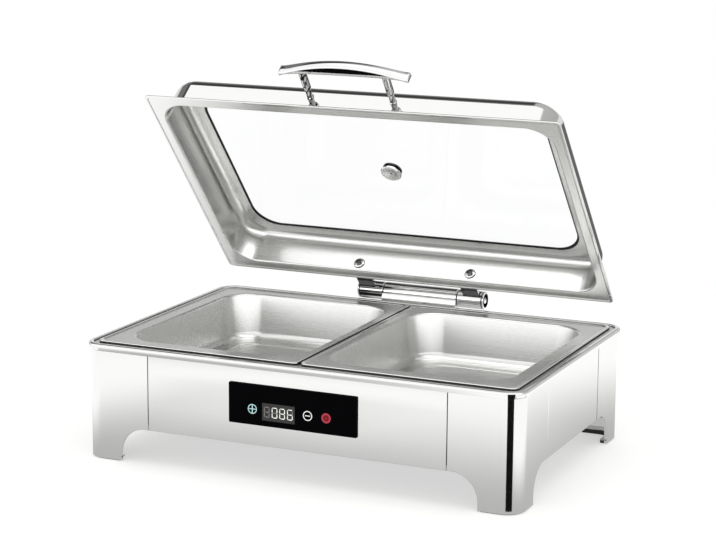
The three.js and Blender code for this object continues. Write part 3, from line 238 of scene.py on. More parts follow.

# Corner legs: 1.2 mm stainless sheet wrapped round each corner, with a quarter-round arch cut in
# both wings. The edges are folded in, and a lip above the foot carries the rubber pad. The sides'
# rear seams are painted black on their forward faces, as painted shade in the gaps.
sheet = 1.2 * mm
corner_radius = 23 * mm
corner_steps = 14
sheet_top = 134.5 * mm
arch_height = 43 * mm
arch_radius = 33 * mm
foot_low = 1.2 * mm
foot_width = 49.5 * mm
seam_half_gap = 0.4 * mm
seam_x = 192.5 * mm
seam_y = 92 * mm
seam_fold = 8 * mm
arch_hem = 4 * mm
fold_radius = 0.9 * mm
seam_black = 1.3 * mm
seam_facing = -0.4
lip_height = 5.9 * mm
lip_width = 9.6 * mm
steel_tone = (0.88, 0.88, 0.865)


def steel(name, tone, roughness, grain, spread=0.03, relief=0.02, cloud=0.95, metal=1):
    made = bpy.data.materials.new(name)
    made.use_nodes = True
    tree = made.node_tree
    shader = tree.nodes["Principled BSDF"]
    shader.inputs["Metallic"].default_value = metal
    place = node(tree, "ShaderNodeTexCoord")
    stretch = node(tree, "ShaderNodeMapping", place.outputs["Object"], Scale=grain)
    fine = node(tree, "ShaderNodeTexNoise", stretch, Scale=1.0, Detail=5.0)
    cloudy = node(tree, "ShaderNodeTexNoise", place.outputs["Object"], Scale=6.0, Detail=3.0)
    both = node(tree, "ShaderNodeMath", fine, cloudy, operation="ADD")
    rough = node(tree, "ShaderNodeMapRange", both, From_Min=0.6, From_Max=1.4,
                 To_Min=roughness - spread, To_Max=roughness + spread)
    tree.links.new(rough.outputs["Result"], shader.inputs["Roughness"])
    colour = ramp(tree, both, (0.6, tuple(part * cloud for part in tone)), (1.3, tone))
    tree.links.new(colour.outputs["Color"], shader.inputs["Base Color"])
    if relief:
        bump = node(tree, "ShaderNodeBump", Strength=relief, Distance=0.05 * mm)
        tree.links.new(fine.outputs["Fac"], bump.inputs["Height"])
        tree.links.new(bump.outputs["Normal"], shader.inputs["Normal"])
    return made


def as_piece(name, shape, body, finish, replaced=(), crease=40, wall=0.0, second=None,
             inside=False):
    mesh = bpy.data.meshes.new(name)
    shape.to_mesh(mesh)
    shape.free()
    mesh.shade_smooth()
    mesh.set_sharp_from_angle(angle=math.radians(crease))
    mesh.materials.append(finish)
    made = bpy.data.objects.new(name, mesh)
    bpy.context.scene.collection.objects.link(made)
    if second:
        mesh.materials.append(second)
    if wall:
        thick = made.modifiers.new("wall", "SOLIDIFY")
        thick.thickness = wall
        thick.offset = -1
        thick.use_even_offset = True
        if inside:
            thick.material_offset = 1
            thick.material_offset_rim = 1
    flat = made.modifiers.new("flat_faces", "WEIGHTED_NORMAL")
    flat.keep_sharp = True
    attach(made, body)
    if replaced:
        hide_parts(*replaced)
    return made


def bevelled(shape, geometry, size, segments=3, kind="EDGES"):
    return bmesh.ops.bevel(shape, geom=geometry, offset=size, segments=segments, profile=0.5,
                           affect=kind, material=-1, clamp_overlap=True)


def folded_in(shape, edges, depth):
    made = bmesh.ops.extrude_edge_only(shape, edges=edges)["geom"]
    moved = [item for item in made if isinstance(item, bmesh.types.BMVert)]
    bmesh.ops.translate(shape, verts=moved, vec=(0, depth, 0))


def faces_from(shape, point):
    bmesh.ops.recalc_face_normals(shape, faces=shape.faces)
    widest = max(shape.faces, key=lambda face: face.calc_area())
    if widest.normal.dot(widest.calc_center_median() - point) < 0:
        bmesh.ops.reverse_faces(shape, faces=shape.faces)


def cut(shape, place, across):
    bmesh.ops.bisect_plane(shape, geom=shape.verts[:] + shape.edges[:] + shape.faces[:],
                           plane_co=place, plane_no=across)


def leg_skin(side, end):
    shape = bmesh.new()
    arc = corner_radius * math.pi / 2
    front_wing = half_width - corner_radius - seam_x - seam_half_gap
    side_wing = half_depth - corner_radius - seam_y - seam_half_gap
    foot = foot_width - corner_radius
    outline = [
        (-front_wing, arch_height), (-foot, arch_height), (-foot, foot_low),
        (arc + foot, foot_low), (arc + foot, arch_height), (arc + side_wing, arch_height),
        (arc + side_wing, sheet_top), (-front_wing, sheet_top)]
    corners = [shape.verts.new((along, 0, height)) for along, height in outline]
    shape.faces.new(corners)
    bevelled(shape, [corners[1], corners[4]], arch_radius, 16, "VERTICES")
    open_edges = [edge for edge in shape.edges if max(v.co.z for v in edge.verts) > foot_low * 2
                  and min(v.co.z for v in edge.verts) < sheet_top - foot_low]
    seams = [edge for edge in open_edges if max(v.co.z for v in edge.verts) > arch_height * 2]
    arches = [edge for edge in open_edges if edge not in seams]
    folded_in(shape, seams, seam_fold)
    folded_in(shape, arches, arch_hem)
    bevelled(shape, seams + arches, fold_radius)
    for step in range(corner_steps + 1):
        cut(shape, (arc * step / corner_steps, 0, 0), (1, 0, 0))
    lip = bmesh.ops.create_grid(shape, x_segments=28, y_segments=1, size=0.5)["verts"]
    for vert in lip:
        vert.co = ((vert.co.x + 0.5) * (arc + 2 * foot) - foot,
                   sheet / 2 + (vert.co.y + 0.5) * (lip_width - sheet / 2), lip_height)
    for vert in shape.verts:
        along, depth, height = vert.co
        angle = min(max(along, 0), arc) / corner_radius
        radius = corner_radius - depth
        x = half_width - corner_radius + radius * math.sin(angle) + min(along, 0)
        y = half_depth - corner_radius + radius * math.cos(angle) - max(along - arc, 0)
        vert.co = (side * x, base_centre_y + end * y, height)
    bmesh.ops.remove_doubles(shape, verts=shape.verts, dist=0.01 * mm)
    faces_from(shape, Vector((0, base_centre_y, arch_height)))
    return shape


brushed = steel("brushed_steel", steel_tone, 0.1, (5, 5, 1400), 0.03, 0.04)
# Painted shade: a flat black for faces in gaps, where shade falls.
painted_gap_shade = steel("black_painted_gap_shade", (0.012, 0.012, 0.012), 0.55, (500, 500, 500), 0.08, 0.2, 0.7, 0)
for end, end_word in ((-1, "front"), (1, "rear")):
    for side, side_word in ((-1, "left"), (1, "right")):
        leg = f"leg_{end_word}_{side_word}"
        shape = leg_skin(side, end)
        # Painted shade: the forward faces of the rear seams turn black.
        for face in shape.faces:
            place = face.calc_center_median()
            face.material_index = (end > 0 and place.y - base_centre_y - seam_y < seam_black
                                   and face.normal.y < seam_facing and place.z > arch_height)
        as_piece(f"{leg}_sheet", shape, "base", brushed, (leg,), wall=sheet,
                 second=painted_gap_shade)

# Panels: flat stainless sheets between the legs, folded in at the seams and along the bottom.
# The front one has a window for the touch board, the rear one a window for the mains inlet.
panel_return = 14 * mm
front_window = (-76 * mm, 76 * mm, 74.5 * mm, 110.5 * mm)
rear_window = (-163.8 * mm, -136.2 * mm, 67.7 * mm, 88.3 * mm)


def panel_skin(half_length, face_distance, turn, window=None):
    shape = bmesh.new()
    edge_x = half_length - seam_half_gap
    outline = [(-edge_x, arch_height), (edge_x, arch_height), (edge_x, sheet_top),
               (-edge_x, sheet_top)]
    shape.faces.new([shape.verts.new((x, 0, z)) for x, z in outline])
    folds = [edge for edge in shape.edges if min(v.co.z for v in edge.verts) < sheet_top - sheet]
    sides = [edge for edge in folds if max(v.co.z for v in edge.verts) > arch_height * 2]
    bottom = [edge for edge in folds if edge not in sides]
    folded_in(shape, sides, seam_fold)
    folded_in(shape, bottom, panel_return)
    bevelled(shape, folds, fold_radius)
    if window:
        left, right, low, high = window
        for place, across in (((left, 0, 0), (1, 0, 0)), ((right, 0, 0), (1, 0, 0)),
                              ((0, 0, low), (0, 0, 1)), ((0, 0, high), (0, 0, 1))):
            cut(shape, place, across)
        inside = [face for face in shape.faces
                  if left < face.calc_center_median().x < right
                  and low < face.calc_center_median().z < high
                  and abs(face.calc_center_median().y) < sheet / 2]
        bmesh.ops.delete(shape, geom=inside, context="FACES")
    bmesh.ops.translate(shape, verts=shape.verts, vec=(0, -face_distance, 0))
    bmesh.ops.rotate(shape, verts=shape.verts, matrix=Matrix.Rotation(turn, 3, "Z"))
    bmesh.ops.translate(shape, verts=shape.verts, vec=(0, base_centre_y, 0))
    faces_from(shape, Vector((0, base_centre_y, arch_height)))
    return shape


for panel, half_length, face_distance, turn, window in (
        ("front_panel", seam_x, half_depth, 0, front_window),
        ("rear_panel", seam_x, half_depth, math.pi, rear_window),
        ("right_panel", seam_y, half_width, math.pi / 2, None),
        ("left_panel", seam_y, half_width, -math.pi / 2, None)):
    as_piece(f"{panel}_sheet", panel_skin(half_length, face_distance, turn, window), "base",
             brushed, (panel,), wall=sheet)

# Top frame: a bright rolled band round the outside, then a step down to the ledge that carries
# the water pan. It is pressed from one sheet and polished. Faces under the band and the ledge's
# outer strip are painted black, as painted shade in the gaps there.
band_low = 135.5 * mm
band_top = 143.3 * mm
ledge_top = 140.3 * mm
ledge_black = 6 * mm
under_black = 2.8 * mm
near = 0.1 * mm
band_profile = (
    (-3 * mm, band_low, 1 * mm), (-3 * mm, band_top, 3 * mm), (3.5 * mm, band_top, 1.3 * mm),
    (3.5 * mm, ledge_top, 0), (ledge_black, ledge_top, 0), (18 * mm, ledge_top, 0),
    (18 * mm, ledge_top - sheet, 0), (2.7 * mm, ledge_top - sheet, 0), (2.7 * mm, 128 * mm, 0),
    (1.5 * mm, 128 * mm, 0), (1.5 * mm, band_low, 0))
ring_steps = 12


def on_ring(way_x, way_y, turn, ring):
    inset_x, inset_y, corner, height, centre = ring[:5]
    return (way_x * (inset_x - corner) + corner * turn.x + centre[0],
            way_y * (inset_y - corner) + corner * turn.y + centre[1], height)


def pressed(rings, endless=False, floor=False):
    shape = bmesh.new()
    half_step = Matrix.Rotation(math.pi / (4 * ring_steps), 4, "Z")
    loop = bmesh.ops.create_circle(shape, segments=4 * ring_steps, radius=1,
                                   matrix=half_step)["verts"]
    turns = [vert.co.copy() for vert in loop]
    edges = shape.edges[:]
    loops = [edges]
    for vert, turn in zip(loop, turns):
        vert.co = on_ring(math.copysign(1, turn.x), math.copysign(1, turn.y), turn, rings[0])
    for before, ring in zip(rings, rings[1:] + rings[:endless]):
        made = bmesh.ops.extrude_edge_only(shape, edges=edges)["geom"]
        moved = [item for item in made if isinstance(item, bmesh.types.BMVert)]
        for vert in moved:
            way_x = math.copysign(1, vert.co.x - before[4][0])
            way_y = math.copysign(1, vert.co.y - before[4][1])
            corner = Vector((way_x * (before[0] - before[2]) + before[4][0],
                             way_y * (before[1] - before[2]) + before[4][1], before[3]))
            vert.co = on_ring(way_x, way_y, (vert.co - corner) / before[2], ring)
        edges = [item for item in made if isinstance(item, bmesh.types.BMEdge)
                 and all(vert in moved for vert in item.verts)]
        loops.append(edges)
    if endless:
        bmesh.ops.remove_doubles(shape, verts=shape.verts, dist=0.01 * mm)
    if floor:
        bmesh.ops.contextual_create(shape, geom=loops[-1])
    for loop, ring in zip(loops, rings):
        if ring[5]:
            bevelled(shape, [edge for edge in loop if edge.is_valid], ring[5], 5)
    return shape


polished = steel("polished_steel", steel_tone, 0.06, (40, 40, 40), 0.02, 0.0, 0.97)
shape = pressed([
    (half_width - inset, half_depth - inset, corner_radius - inset, height, (0, base_centre_y),
     bend) for inset, height, bend in band_profile], endless=True)
bmesh.ops.recalc_face_normals(shape, faces=shape.faces)
# Painted shade: faces under the band and on the ledge's outer strip turn black.
for face in shape.faces:
    place = face.calc_center_median()
    over_x = max(abs(place.x) - half_width + corner_radius, 0)
    over_y = max(abs(place.y - base_centre_y) - half_depth + corner_radius, 0)
    inset = corner_radius - math.hypot(over_x, over_y)
    face.material_index = (place.z < band_low - near and inset < under_black
                           or abs(place.z - ledge_top) < near and inset < ledge_black)
as_piece("top_band", shape, "base", polished, ("top_frame",), second=painted_gap_shade)

# Water pan: one deep pressing under both food pans. Its flat rim lies on the frame's ledge and
# shows as the narrow gutter round the food pans.
satin = steel("satin_steel", steel_tone, 0.28, (14, 900, 900), 0.04, 0.03, 0.94)
pan_wall = 1 * mm
water_profile = (
    (4.6 * mm, 18.4 * mm, 141.6 * mm, 0), (21 * mm, 28 * mm, 141.6 * mm, 2 * mm),
    (29 * mm, 27 * mm, 61 * mm, 9 * mm))
shape = pressed([
    (half_width - inset, half_depth - inset, corner, height, (0, base_centre_y), bend)
    for inset, corner, height, bend in water_profile], floor=True)
faces_from(shape, Vector((0, base_centre_y, -1)))
as_piece("water_pan_pressing", shape, "water_pan", satin, ("water_pan",),
         wall=pan_wall)

# Food pans: deep-drawn half-size pans with a rolled rim, a flat flange, a round-cornered bowl and
# a floor sunk inside a narrow ledge. They lift out by hand. The rims' faces between the pans and
# the skirts' lowest faces are painted black, as painted shade in the gaps.
pan_half_x = 134.45 * mm
pan_half_y = 172.5 * mm
pan_centre_x = 135.45 * mm
pan_top = 144.35 * mm
pan_skirt_low = 141.9 * mm
pan_flange_top = 143.3 * mm
pan_floor = 82.2 * mm
pan_ledge = 85.2 * mm
mouth_shift = 4.5 * mm
mouth_from = 20 * mm
between_pans = 2.5 * mm
rim_level = 0.97
pan_profile = (
    (0, 8 * mm, pan_skirt_low, 0), (0, 8 * mm, pan_top, 1.2 * mm),
    (3.6 * mm, 8 * mm, pan_top, 1.2 * mm), (4.6 * mm, 8 * mm, pan_flange_top, 0.5 * mm),
    (23.5 * mm, 42 * mm, pan_flange_top, 2.6 * mm), (32.5 * mm, 37 * mm, pan_ledge, 9 * mm),
    (55 * mm, 26 * mm, pan_ledge, 2.5 * mm), (58.5 * mm, 24 * mm, pan_floor, 2.5 * mm))
for side, side_word in ((-1, "left"), (1, "right")):
    rings = []
    for inset, corner, height, bend in pan_profile:
        shift = mouth_shift if inset > mouth_from else 0
        centre = (side * (pan_centre_x - shift), base_centre_y)
        rings.append((pan_half_x - inset + shift, pan_half_y - inset, corner, height, centre, bend))
    shape = pressed(rings, floor=True)
    faces_from(shape, Vector((0, base_centre_y, -1)))
    for face in shape.faces:
        rim_low = min(vert.co.z for vert in face.verts)
        face.material_index = rim_low > pan_flange_top + 0.02 * mm
        # Painted shade: rim faces between the pans and at the skirt's foot turn black.
        between = abs(face.calc_center_median().x) < between_pans and face.normal.z < rim_level
        if between or abs(rim_low - pan_skirt_low) < near:
            face.material_index = 2
    pan = f"food_pan_{side_word}"
    as_piece(f"{pan}_pressing", shape, pan, satin, (pan,), wall=pan_wall,
             second=polished).data.materials.append(painted_gap_shade)

# Bottom cover and heater: a slotted sheet hung on the panels' returns, and over it a tubular
# element on a cast plate with its insulation, brackets, cut-out and probe. None shows from above.
grain_tones = {
    "galvanized_steel": ((0.62, 0.64, 0.65), 1, 0.42, (90, 90, 90)),
    "aluminium": ((0.8, 0.81, 0.82), 1, 0.38, (30, 400, 400)),
    "brass": ((0.8, 0.58, 0.24), 1, 0.3, (200, 200, 200)),
    "black_rubber": ((0.022, 0.022, 0.023), 0, 0.7, (900, 900, 900)),
    "black_plastic": ((0.03, 0.03, 0.032), 0, 0.45, (700, 700, 700)),
    "white_plastic": ((0.78, 0.78, 0.76), 0, 0.42, (500, 500, 500)),
    "circuit_board": ((0.02, 0.16, 0.07), 0, 0.35, (160, 160, 160)),
    "fibre": ((0.7, 0.68, 0.62), 0, 0.9, (60, 300, 60)),
    "brown_wire": ((0.16, 0.06, 0.02), 0, 0.4, (300, 300, 300)),
    "blue_wire": ((0.03, 0.12, 0.5), 0, 0.4, (300, 300, 300)),
    "grey_wire": ((0.42, 0.43, 0.44), 0, 0.45, (40, 700, 700))}
finishes = {"brushed_steel": brushed, "polished_steel": polished, "satin_steel": satin}
for slot_name, (tone, metal, roughness, grain) in grain_tones.items():
    finishes[slot_name] = steel(slot_name, tone, roughness, grain, 0.08, 0.5, 0.85, metal)
slot_of = {row["node"]: row["material_slot"] for row in frame["record"]["subparts"]}
body_of = {piece: body for body, pieces in frame["record"]["behaviour"]["bodies"].items()
           for piece in pieces}


def eased(name, edge, segments=2, angle=35):
    shape = bmesh.new()
    shape.from_mesh(frame["nodes"][name].data)
    bmesh.ops.remove_doubles(shape, verts=shape.verts, dist=0.005 * mm)
    bmesh.ops.dissolve_limit(shape, angle_limit=math.radians(1), verts=shape.verts,
                             edges=shape.edges)
    sharp = [item for item in shape.edges if item.calc_face_angle(0) > math.radians(angle)]
    bevelled(shape, sharp, edge, segments)
    return as_piece(f"{name}_eased", shape, body_of[name], finishes[slot_of[name]],
                    (name,), crease=angle)


eased("bottom_cover", 0.2 * mm)
for heater_piece in ("heater_plate", "heating_element", "insulation_pad", "heater_bracket_left",
                     "heater_bracket_right", "thermal_cutout", "temperature_probe"):
    eased(heater_piece, 0.35 * mm)

# Foot pads: moulded black rubber angles pushed onto the lips inside the feet, the only part that
# touches the table.
for end_word in ("front", "rear"):
    for side_word in ("left", "right"):
        eased(f"foot_pad_{end_word}_{side_word}", 0.9 * mm, 3)

# Controls: a black housing behind the front panel with the touch board and its display module,
# and the power board, terminals, leads and mains inlet at the rear.
eased("control_housing", 0.4 * mm)
for control_piece in ("control_board", "display_module", "power_board", "terminal_block",
                      "ribbon_cable"):
    eased(control_piece, 0.15 * mm)
for lead in ("mains_lead_live", "mains_lead_neutral", "heater_lead"):
    eased(lead, 0.1 * mm, 1, 60)
eased("inlet_socket", 0.5 * mm, 3)

# Touch panel: a plate of black glass glued over the window in the front panel. The symbols and
# the plain digits are lit from behind, and the line above them is left bare.
glass_half_width = 82.5 * mm
glass_low = 68 * mm
glass_high = 117 * mm
glass_back = -200.3 * mm
glass_thick = 1.8 * mm
glass_corner = 1.6 * mm
glass_edge = 0.35 * mm
shape = bmesh.new()
bmesh.ops.create_cube(shape, size=1)
bmesh.ops.scale(shape, vec=(2 * glass_half_width, glass_thick, glass_high - glass_low),
                verts=shape.verts)
bmesh.ops.translate(shape, verts=shape.verts,
                    vec=(0, glass_back - glass_thick / 2, (glass_high + glass_low) / 2))
across = [item for item in shape.edges if abs(item.verts[0].co.y - item.verts[1].co.y) > mm]
bevelled(shape, across, glass_corner, 5)
rims = [item for item in shape.edges if item.calc_face_angle(0) > math.radians(60)]
bevelled(shape, rims, glass_edge, 2)
# Black glass for the touch plate. The same black stands for painted shade under the handle, in the
# hinge caps' rings and in the screw crosses.
black_glass = steel("black_glass", (0.002, 0.002, 0.0025), 0.06, (30, 30, 30), 0.03, 0.0, 0.8, 0)
glass_shader = black_glass.node_tree.nodes["Principled BSDF"]
glass_shader.inputs["Specular IOR Level"].default_value = 0.01
as_piece("touch_plate", shape, "base", black_glass, ("touch_glass",))

mark_y = glass_back - glass_thick - 0.03 * mm
mark_deep = 0.05 * mm


def lit(name, tone, strength):
    made = bpy.data.materials.new(name)
    made.use_nodes = True
    tree = made.node_tree
    shader = tree.nodes["Principled BSDF"]
    shader.inputs["Roughness"].default_value = 0.5
    shader.inputs["Emission Strength"].default_value = strength
    place = node(tree, "ShaderNodeTexCoord")
    cloud = node(tree, "ShaderNodeTexNoise", place.outputs["Object"], Scale=900.0, Detail=2.0)
    colour = ramp(tree, cloud, (0.25, tuple(part * 0.8 for part in tone)), (0.7, tone))
    tree.links.new(colour.outputs["Color"], shader.inputs["Emission Color"])
    tree.links.new(colour.outputs["Color"], shader.inputs["Base Color"])
    return made


def add_bar(shape, centre, size, lift=0):
    made = bmesh.ops.create_cube(shape, size=1)["verts"]
    bmesh.ops.scale(shape, vec=(size[0], mark_deep, size[1]), verts=made)
    bmesh.ops.translate(shape, vec=(centre[0], mark_y - lift, centre[1]), verts=made)


def add_ring(shape, centre, radius, width):
    outer = bmesh.ops.create_circle(shape, segments=40, radius=radius)["verts"]
    inner = bmesh.ops.create_circle(shape, segments=40, radius=radius - width)["verts"]
    edges = list({item for vert in outer + inner for item in vert.link_edges})
    faces = bmesh.ops.bridge_loops(shape, edges=edges)["faces"]
    thick = bmesh.ops.extrude_face_region(shape, geom=faces)["geom"]
    lifted = [item for item in thick if isinstance(item, bmesh.types.BMVert)]
    bmesh.ops.translate(shape, vec=(0, 0, mark_deep), verts=lifted)
    bmesh.ops.transform(shape, verts=list({*outer, *inner, *lifted}),
                        matrix=Matrix.Translation((centre[0], mark_y, centre[1]))
                        @ Matrix.Rotation(math.pi / 2, 4, "X"))


symbol_radius = 5.9 * mm
symbol_line = 1.1 * mm
symbol_height = 87.3 * mm
plus_x = -51.4 * mm
minus_x = 20.1 * mm
power_x = 43.7 * mm
shape = bmesh.new()
add_ring(shape, (plus_x, symbol_height), symbol_radius, symbol_line)
add_bar(shape, (plus_x, symbol_height), (symbol_radius * 1.5, symbol_line))
add_bar(shape, (plus_x, symbol_height), (symbol_line * 1.2, symbol_radius * 1.6), mark_deep / 4)
as_piece("plus_mark", shape, "base", lit("plus_light", (0.34, 0.52, 0.52), 0.7))
shape = bmesh.new()
add_ring(shape, (minus_x, symbol_height), symbol_radius, symbol_line)
add_bar(shape, (minus_x, symbol_height), (symbol_radius * 1.1, symbol_line))
as_piece("minus_mark", shape, "base", lit("minus_light", (0.62, 0.62, 0.6), 0.8))
shape = bmesh.new()
add_ring(shape, (power_x, symbol_height), symbol_radius, symbol_line)
as_piece("power_ring", shape, "base",
         lit("power_ring_light", (0.34, 0.03, 0.06), 0.8))
shape = bmesh.new()
add_ring(shape, (power_x, symbol_height), symbol_radius * 0.82, symbol_radius * 0.36)
add_ring(shape, (power_x, symbol_height), symbol_radius * 0.3, symbol_radius * 0.28)
as_piece("power_mark", shape, "base", lit("power_light", (0.22, 0.001, 0.008), 0.8))
shape = bmesh.new()
add_bar(shape, (power_x, symbol_height + symbol_radius * 0.36), (symbol_line, symbol_radius * 0.7),
        mark_deep / 4)
as_piece("power_stroke", shape, "base", black_glass)

digit_x = (-32.6 * mm, -22.4 * mm, -12.6 * mm, -2.6 * mm)
digit_middle = 85.6 * mm
digit_half = 3.1 * mm
digit_rise = 5.9 * mm
segment_line = 1.15 * mm
segment_short = 0.86
display_size = (42 * mm, 21 * mm)
segment_places = {
    "top": (0, 2, False), "middle": (0, 0, False), "bottom": (0, -2, False),
    "upper_left": (-1, 1, True), "upper_right": (1, 1, True), "lower_left": (-1, -1, True),
    "lower_right": (1, -1, True)}
glowing_parts = (
    (), ("top", "bottom", "upper_left", "upper_right", "lower_left", "lower_right"),
    ("top", "middle", "bottom", "upper_left", "upper_right", "lower_left", "lower_right"),
    ("top", "middle", "bottom", "upper_left", "lower_left", "lower_right"))


def add_segment(shape, centre, upright):
    long = digit_rise if upright else 2 * digit_half
    hexagon = bmesh.ops.create_circle(shape, cap_ends=True, segments=6,
                                      radius=segment_line / 2)["verts"]
    for vert in hexagon:
        vert.co.x += math.copysign((long - segment_line) / 2 * segment_short, vert.co.x)
    face = next(iter(hexagon[0].link_faces))
    thick = bmesh.ops.extrude_face_region(shape, geom=[face])["geom"]
    lifted = [item for item in thick if isinstance(item, bmesh.types.BMVert)]
    bmesh.ops.translate(shape, vec=(0, 0, mark_deep), verts=lifted)
    turn = math.pi / 2 if upright else 0
    bmesh.ops.transform(shape, verts=list({*hexagon, *lifted}),
                        matrix=Matrix.Translation((centre[0], mark_y - mark_deep, centre[1]))
                        @ Matrix.Rotation(turn, 4, "Y") @ Matrix.Rotation(math.pi / 2, 4, "X"))


glowing = bmesh.new()
resting = bmesh.new()
for place_x, shown in zip(digit_x, glowing_parts):
    for part, (left_right, up_down, upright) in segment_places.items():
        centre = (place_x + left_right * digit_half, digit_middle + up_down * digit_rise / 2)
        add_segment(glowing if part in shown else resting, centre, upright)
as_piece("digits_lit", glowing, "base", lit("digit_light", (0.72, 0.72, 0.69), 0.9))
as_piece("digits_resting", resting, "base",
         lit("digit_rest", (0.16, 0.16, 0.15), 0.7))
shape = bmesh.new()
add_bar(shape, (sum(digit_x) / 4, digit_middle), display_size, -mark_deep / 2)
as_piece("display_window", shape, "base",
         lit("window_light", (0.014, 0.014, 0.013), 0.7))

# Hinge on the back: a polished bracket with a saddle, bolted to the rear panel, carries a chromed
# barrel. The fixed centre tube holds the damper, and the two end sleeves turn with the lid. The
# dark streaks along the barrel and the sleeves are painted reflections in their colour.
hinge = Vector((0, 191, 152.2)) * mm
barrel_radius = 12 * mm
barrel_wall = 1.6 * mm
tube_half = 51.6 * mm
sleeve_start = 52.7 * mm
sleeve_end = 85.9 * mm
cap_start = 86.9 * mm
cap_end = 89 * mm
axle_bore = 3.4 * mm
chrome = steel("chrome", (0.93, 0.93, 0.925), 0.04, (60, 60, 60), 0.015, 0.0, 0.97)
finishes["chrome"] = chrome
# Painted reflections: dark streaks laid into the chrome's colour.
painted_reflection_streaks = steel("painted_reflection_streaks_chrome", (0.93, 0.93, 0.925), 0.07, (3, 340, 340), 0.03, 0.03, 0.03)
painted_reflection_streaks.node_tree.nodes["Color Ramp"].color_ramp.elements[0].position = 0.93
# Painted reflection: chrome darkened in its colour, for the straps, the vent cap, the screw heads
# and the washer edges.
chrome_painted_dark = steel("chrome_painted_dark", (0.14, 0.14, 0.14), 0.12, (5, 300, 300), 0.03, 0.03, 0.3)
along_x = Matrix.Translation(hinge) @ Matrix.Rotation(math.pi / 2, 4, "Y")


def turned(shape, profile, place, steps=72):
    points = [shape.verts.new((radius, 0, along)) for radius, along in profile]
    edges = [shape.edges.new(pair) for pair in zip(points, points[1:])]
    before = set(shape.verts) - set(points)
    bmesh.ops.spin(shape, geom=points + edges, cent=(0, 0, 0), axis=(0, 0, 1), dvec=(0, 0, 0),
                   angle=2 * math.pi, steps=steps, use_merge=True)
    new = [vert for vert in shape.verts if vert not in before]
    bmesh.ops.remove_doubles(shape, verts=new, dist=0.002 * mm)
    new = [vert for vert in shape.verts if vert not in before]
    faces = list({face for vert in new for face in vert.link_faces})
    bmesh.ops.recalc_face_normals(shape, faces=faces)
    bmesh.ops.transform(shape, matrix=place, verts=new)
    return new


shape = bmesh.new()
edge_ease = 0.9 * mm
turned(shape, [
    (barrel_radius - barrel_wall, -tube_half), (barrel_radius - edge_ease, -tube_half),
    (barrel_radius, -tube_half + edge_ease), (barrel_radius, tube_half - edge_ease),
    (barrel_radius - edge_ease, tube_half), (barrel_radius - barrel_wall, tube_half),
    (barrel_radius - barrel_wall, -tube_half)], along_x, 96)
as_piece("hinge_barrel", shape, "base", painted_reflection_streaks, ("hinge_tube",))
eased("hinge_bracket", 0.6 * mm, 3)
eased("hinge_damper", 0.3 * mm)
for side_word in ("left", "right"):
    eased(f"bracket_screw_{side_word}", 0.25 * mm)
eased("hinge_axle", 0.3 * mm)

# Lid shell: a pressed stainless lid with a rolled hem, a flange, a steep wall with a round
# shoulder and a sunk seat for the glass. The outside is polished, the inside satin.
lid_open = math.radians(48.3)
lid_turn = (Matrix.Translation(hinge) @ Matrix.Rotation(-lid_open, 4, "X")
            @ Matrix.Translation(-hinge))
lid_half_x = 271 * mm
lid_half_y = 171 * mm
lid_centre = (0, -13.2 * mm)
lid_low = 144.5 * mm
lid_top = 194.5 * mm
seat_top = 189.1 * mm
lid_corner = 34 * mm
hem_corner = 6 * mm
lid_profile = (
    (4.2 * mm, 3.6 * mm, lid_low + 0.6 * mm, 0), (3 * mm, 4.2 * mm, lid_low, 0.7 * mm),
    (0, hem_corner, lid_low, 1.15 * mm), (0, hem_corner, lid_low + 2.4 * mm, 1.15 * mm),
    (2.8 * mm, 4.4 * mm, lid_low + 2.4 * mm, 0.5 * mm),
    (3.4 * mm, 4 * mm, lid_low + 1.8 * mm, 0.3 * mm),
    (15 * mm, lid_corner, lid_low + 1.8 * mm, 1.6 * mm),
    (15.8 * mm, lid_corner, lid_top - 14 * mm, 0), (16.8 * mm, lid_corner, lid_top, 12 * mm),
    (31.2 * mm, lid_corner, lid_top, 1.2 * mm), (31.2 * mm, lid_corner, seat_top, 1.2 * mm),
    (42.6 * mm, lid_corner, seat_top, 0))
satin_lid = steel("satin_lid_inside", (0.91, 0.91, 0.895), 0.25, (8, 900, 900), 0.05, 0.08, 0.9)


def lid_pressed(profile, **options):
    shape = pressed([
        (lid_half_x - inset, lid_half_y - inset, corner, height, lid_centre, bend)
        for inset, corner, height, bend in profile], **options)
    bmesh.ops.transform(shape, matrix=lid_turn, verts=shape.verts)
    return shape


shape = lid_pressed(lid_profile)
faces_from(shape, lid_turn @ Vector((0, lid_centre[1], 0)))
as_piece("lid_pressing", shape, "lid", polished, ("lid_shell",), wall=sheet,
         second=satin_lid, inside=True)

# Window: a black rubber gasket lines the sunk seat, and a toughened pane lies in it, flush with
# the lid's top.
gasket_low = seat_top + 0.3 * mm
gasket_floor = gasket_low + 0.8 * mm
shape = lid_pressed((
    (31.5 * mm, lid_corner, gasket_low, 0), (31.5 * mm, lid_corner, lid_top, 0.3 * mm),
    (33 * mm, lid_corner, lid_top, 0.3 * mm), (33 * mm, lid_corner, gasket_floor, 0),
    (45.2 * mm, lid_corner, gasket_floor, 0.35 * mm),
    (45.2 * mm, lid_corner, gasket_low, 0.35 * mm)), endless=True)
bmesh.ops.recalc_face_normals(shape, faces=shape.faces)
as_piece("window_gasket", shape, "lid", finishes["black_rubber"], ("glass_gasket",))
pane = bpy.data.materials.new("clear_glass")
pane.use_nodes = True
pane_tree = pane.node_tree
pane_shader = pane_tree.nodes["Principled BSDF"]
pane_shader.inputs["Transmission Weight"].default_value = 1
pane_shader.inputs["IOR"].default_value = 1.15
pane_place = node(pane_tree, "ShaderNodeTexCoord")
pane_smear = node(pane_tree, "ShaderNodeTexNoise", pane_place.outputs["Object"], Scale=9.0,
                  Detail=4.0)
pane_rough = node(pane_tree, "ShaderNodeMapRange", pane_smear, From_Min=0.55, From_Max=0.8,
                  To_Min=0.0, To_Max=0.03)
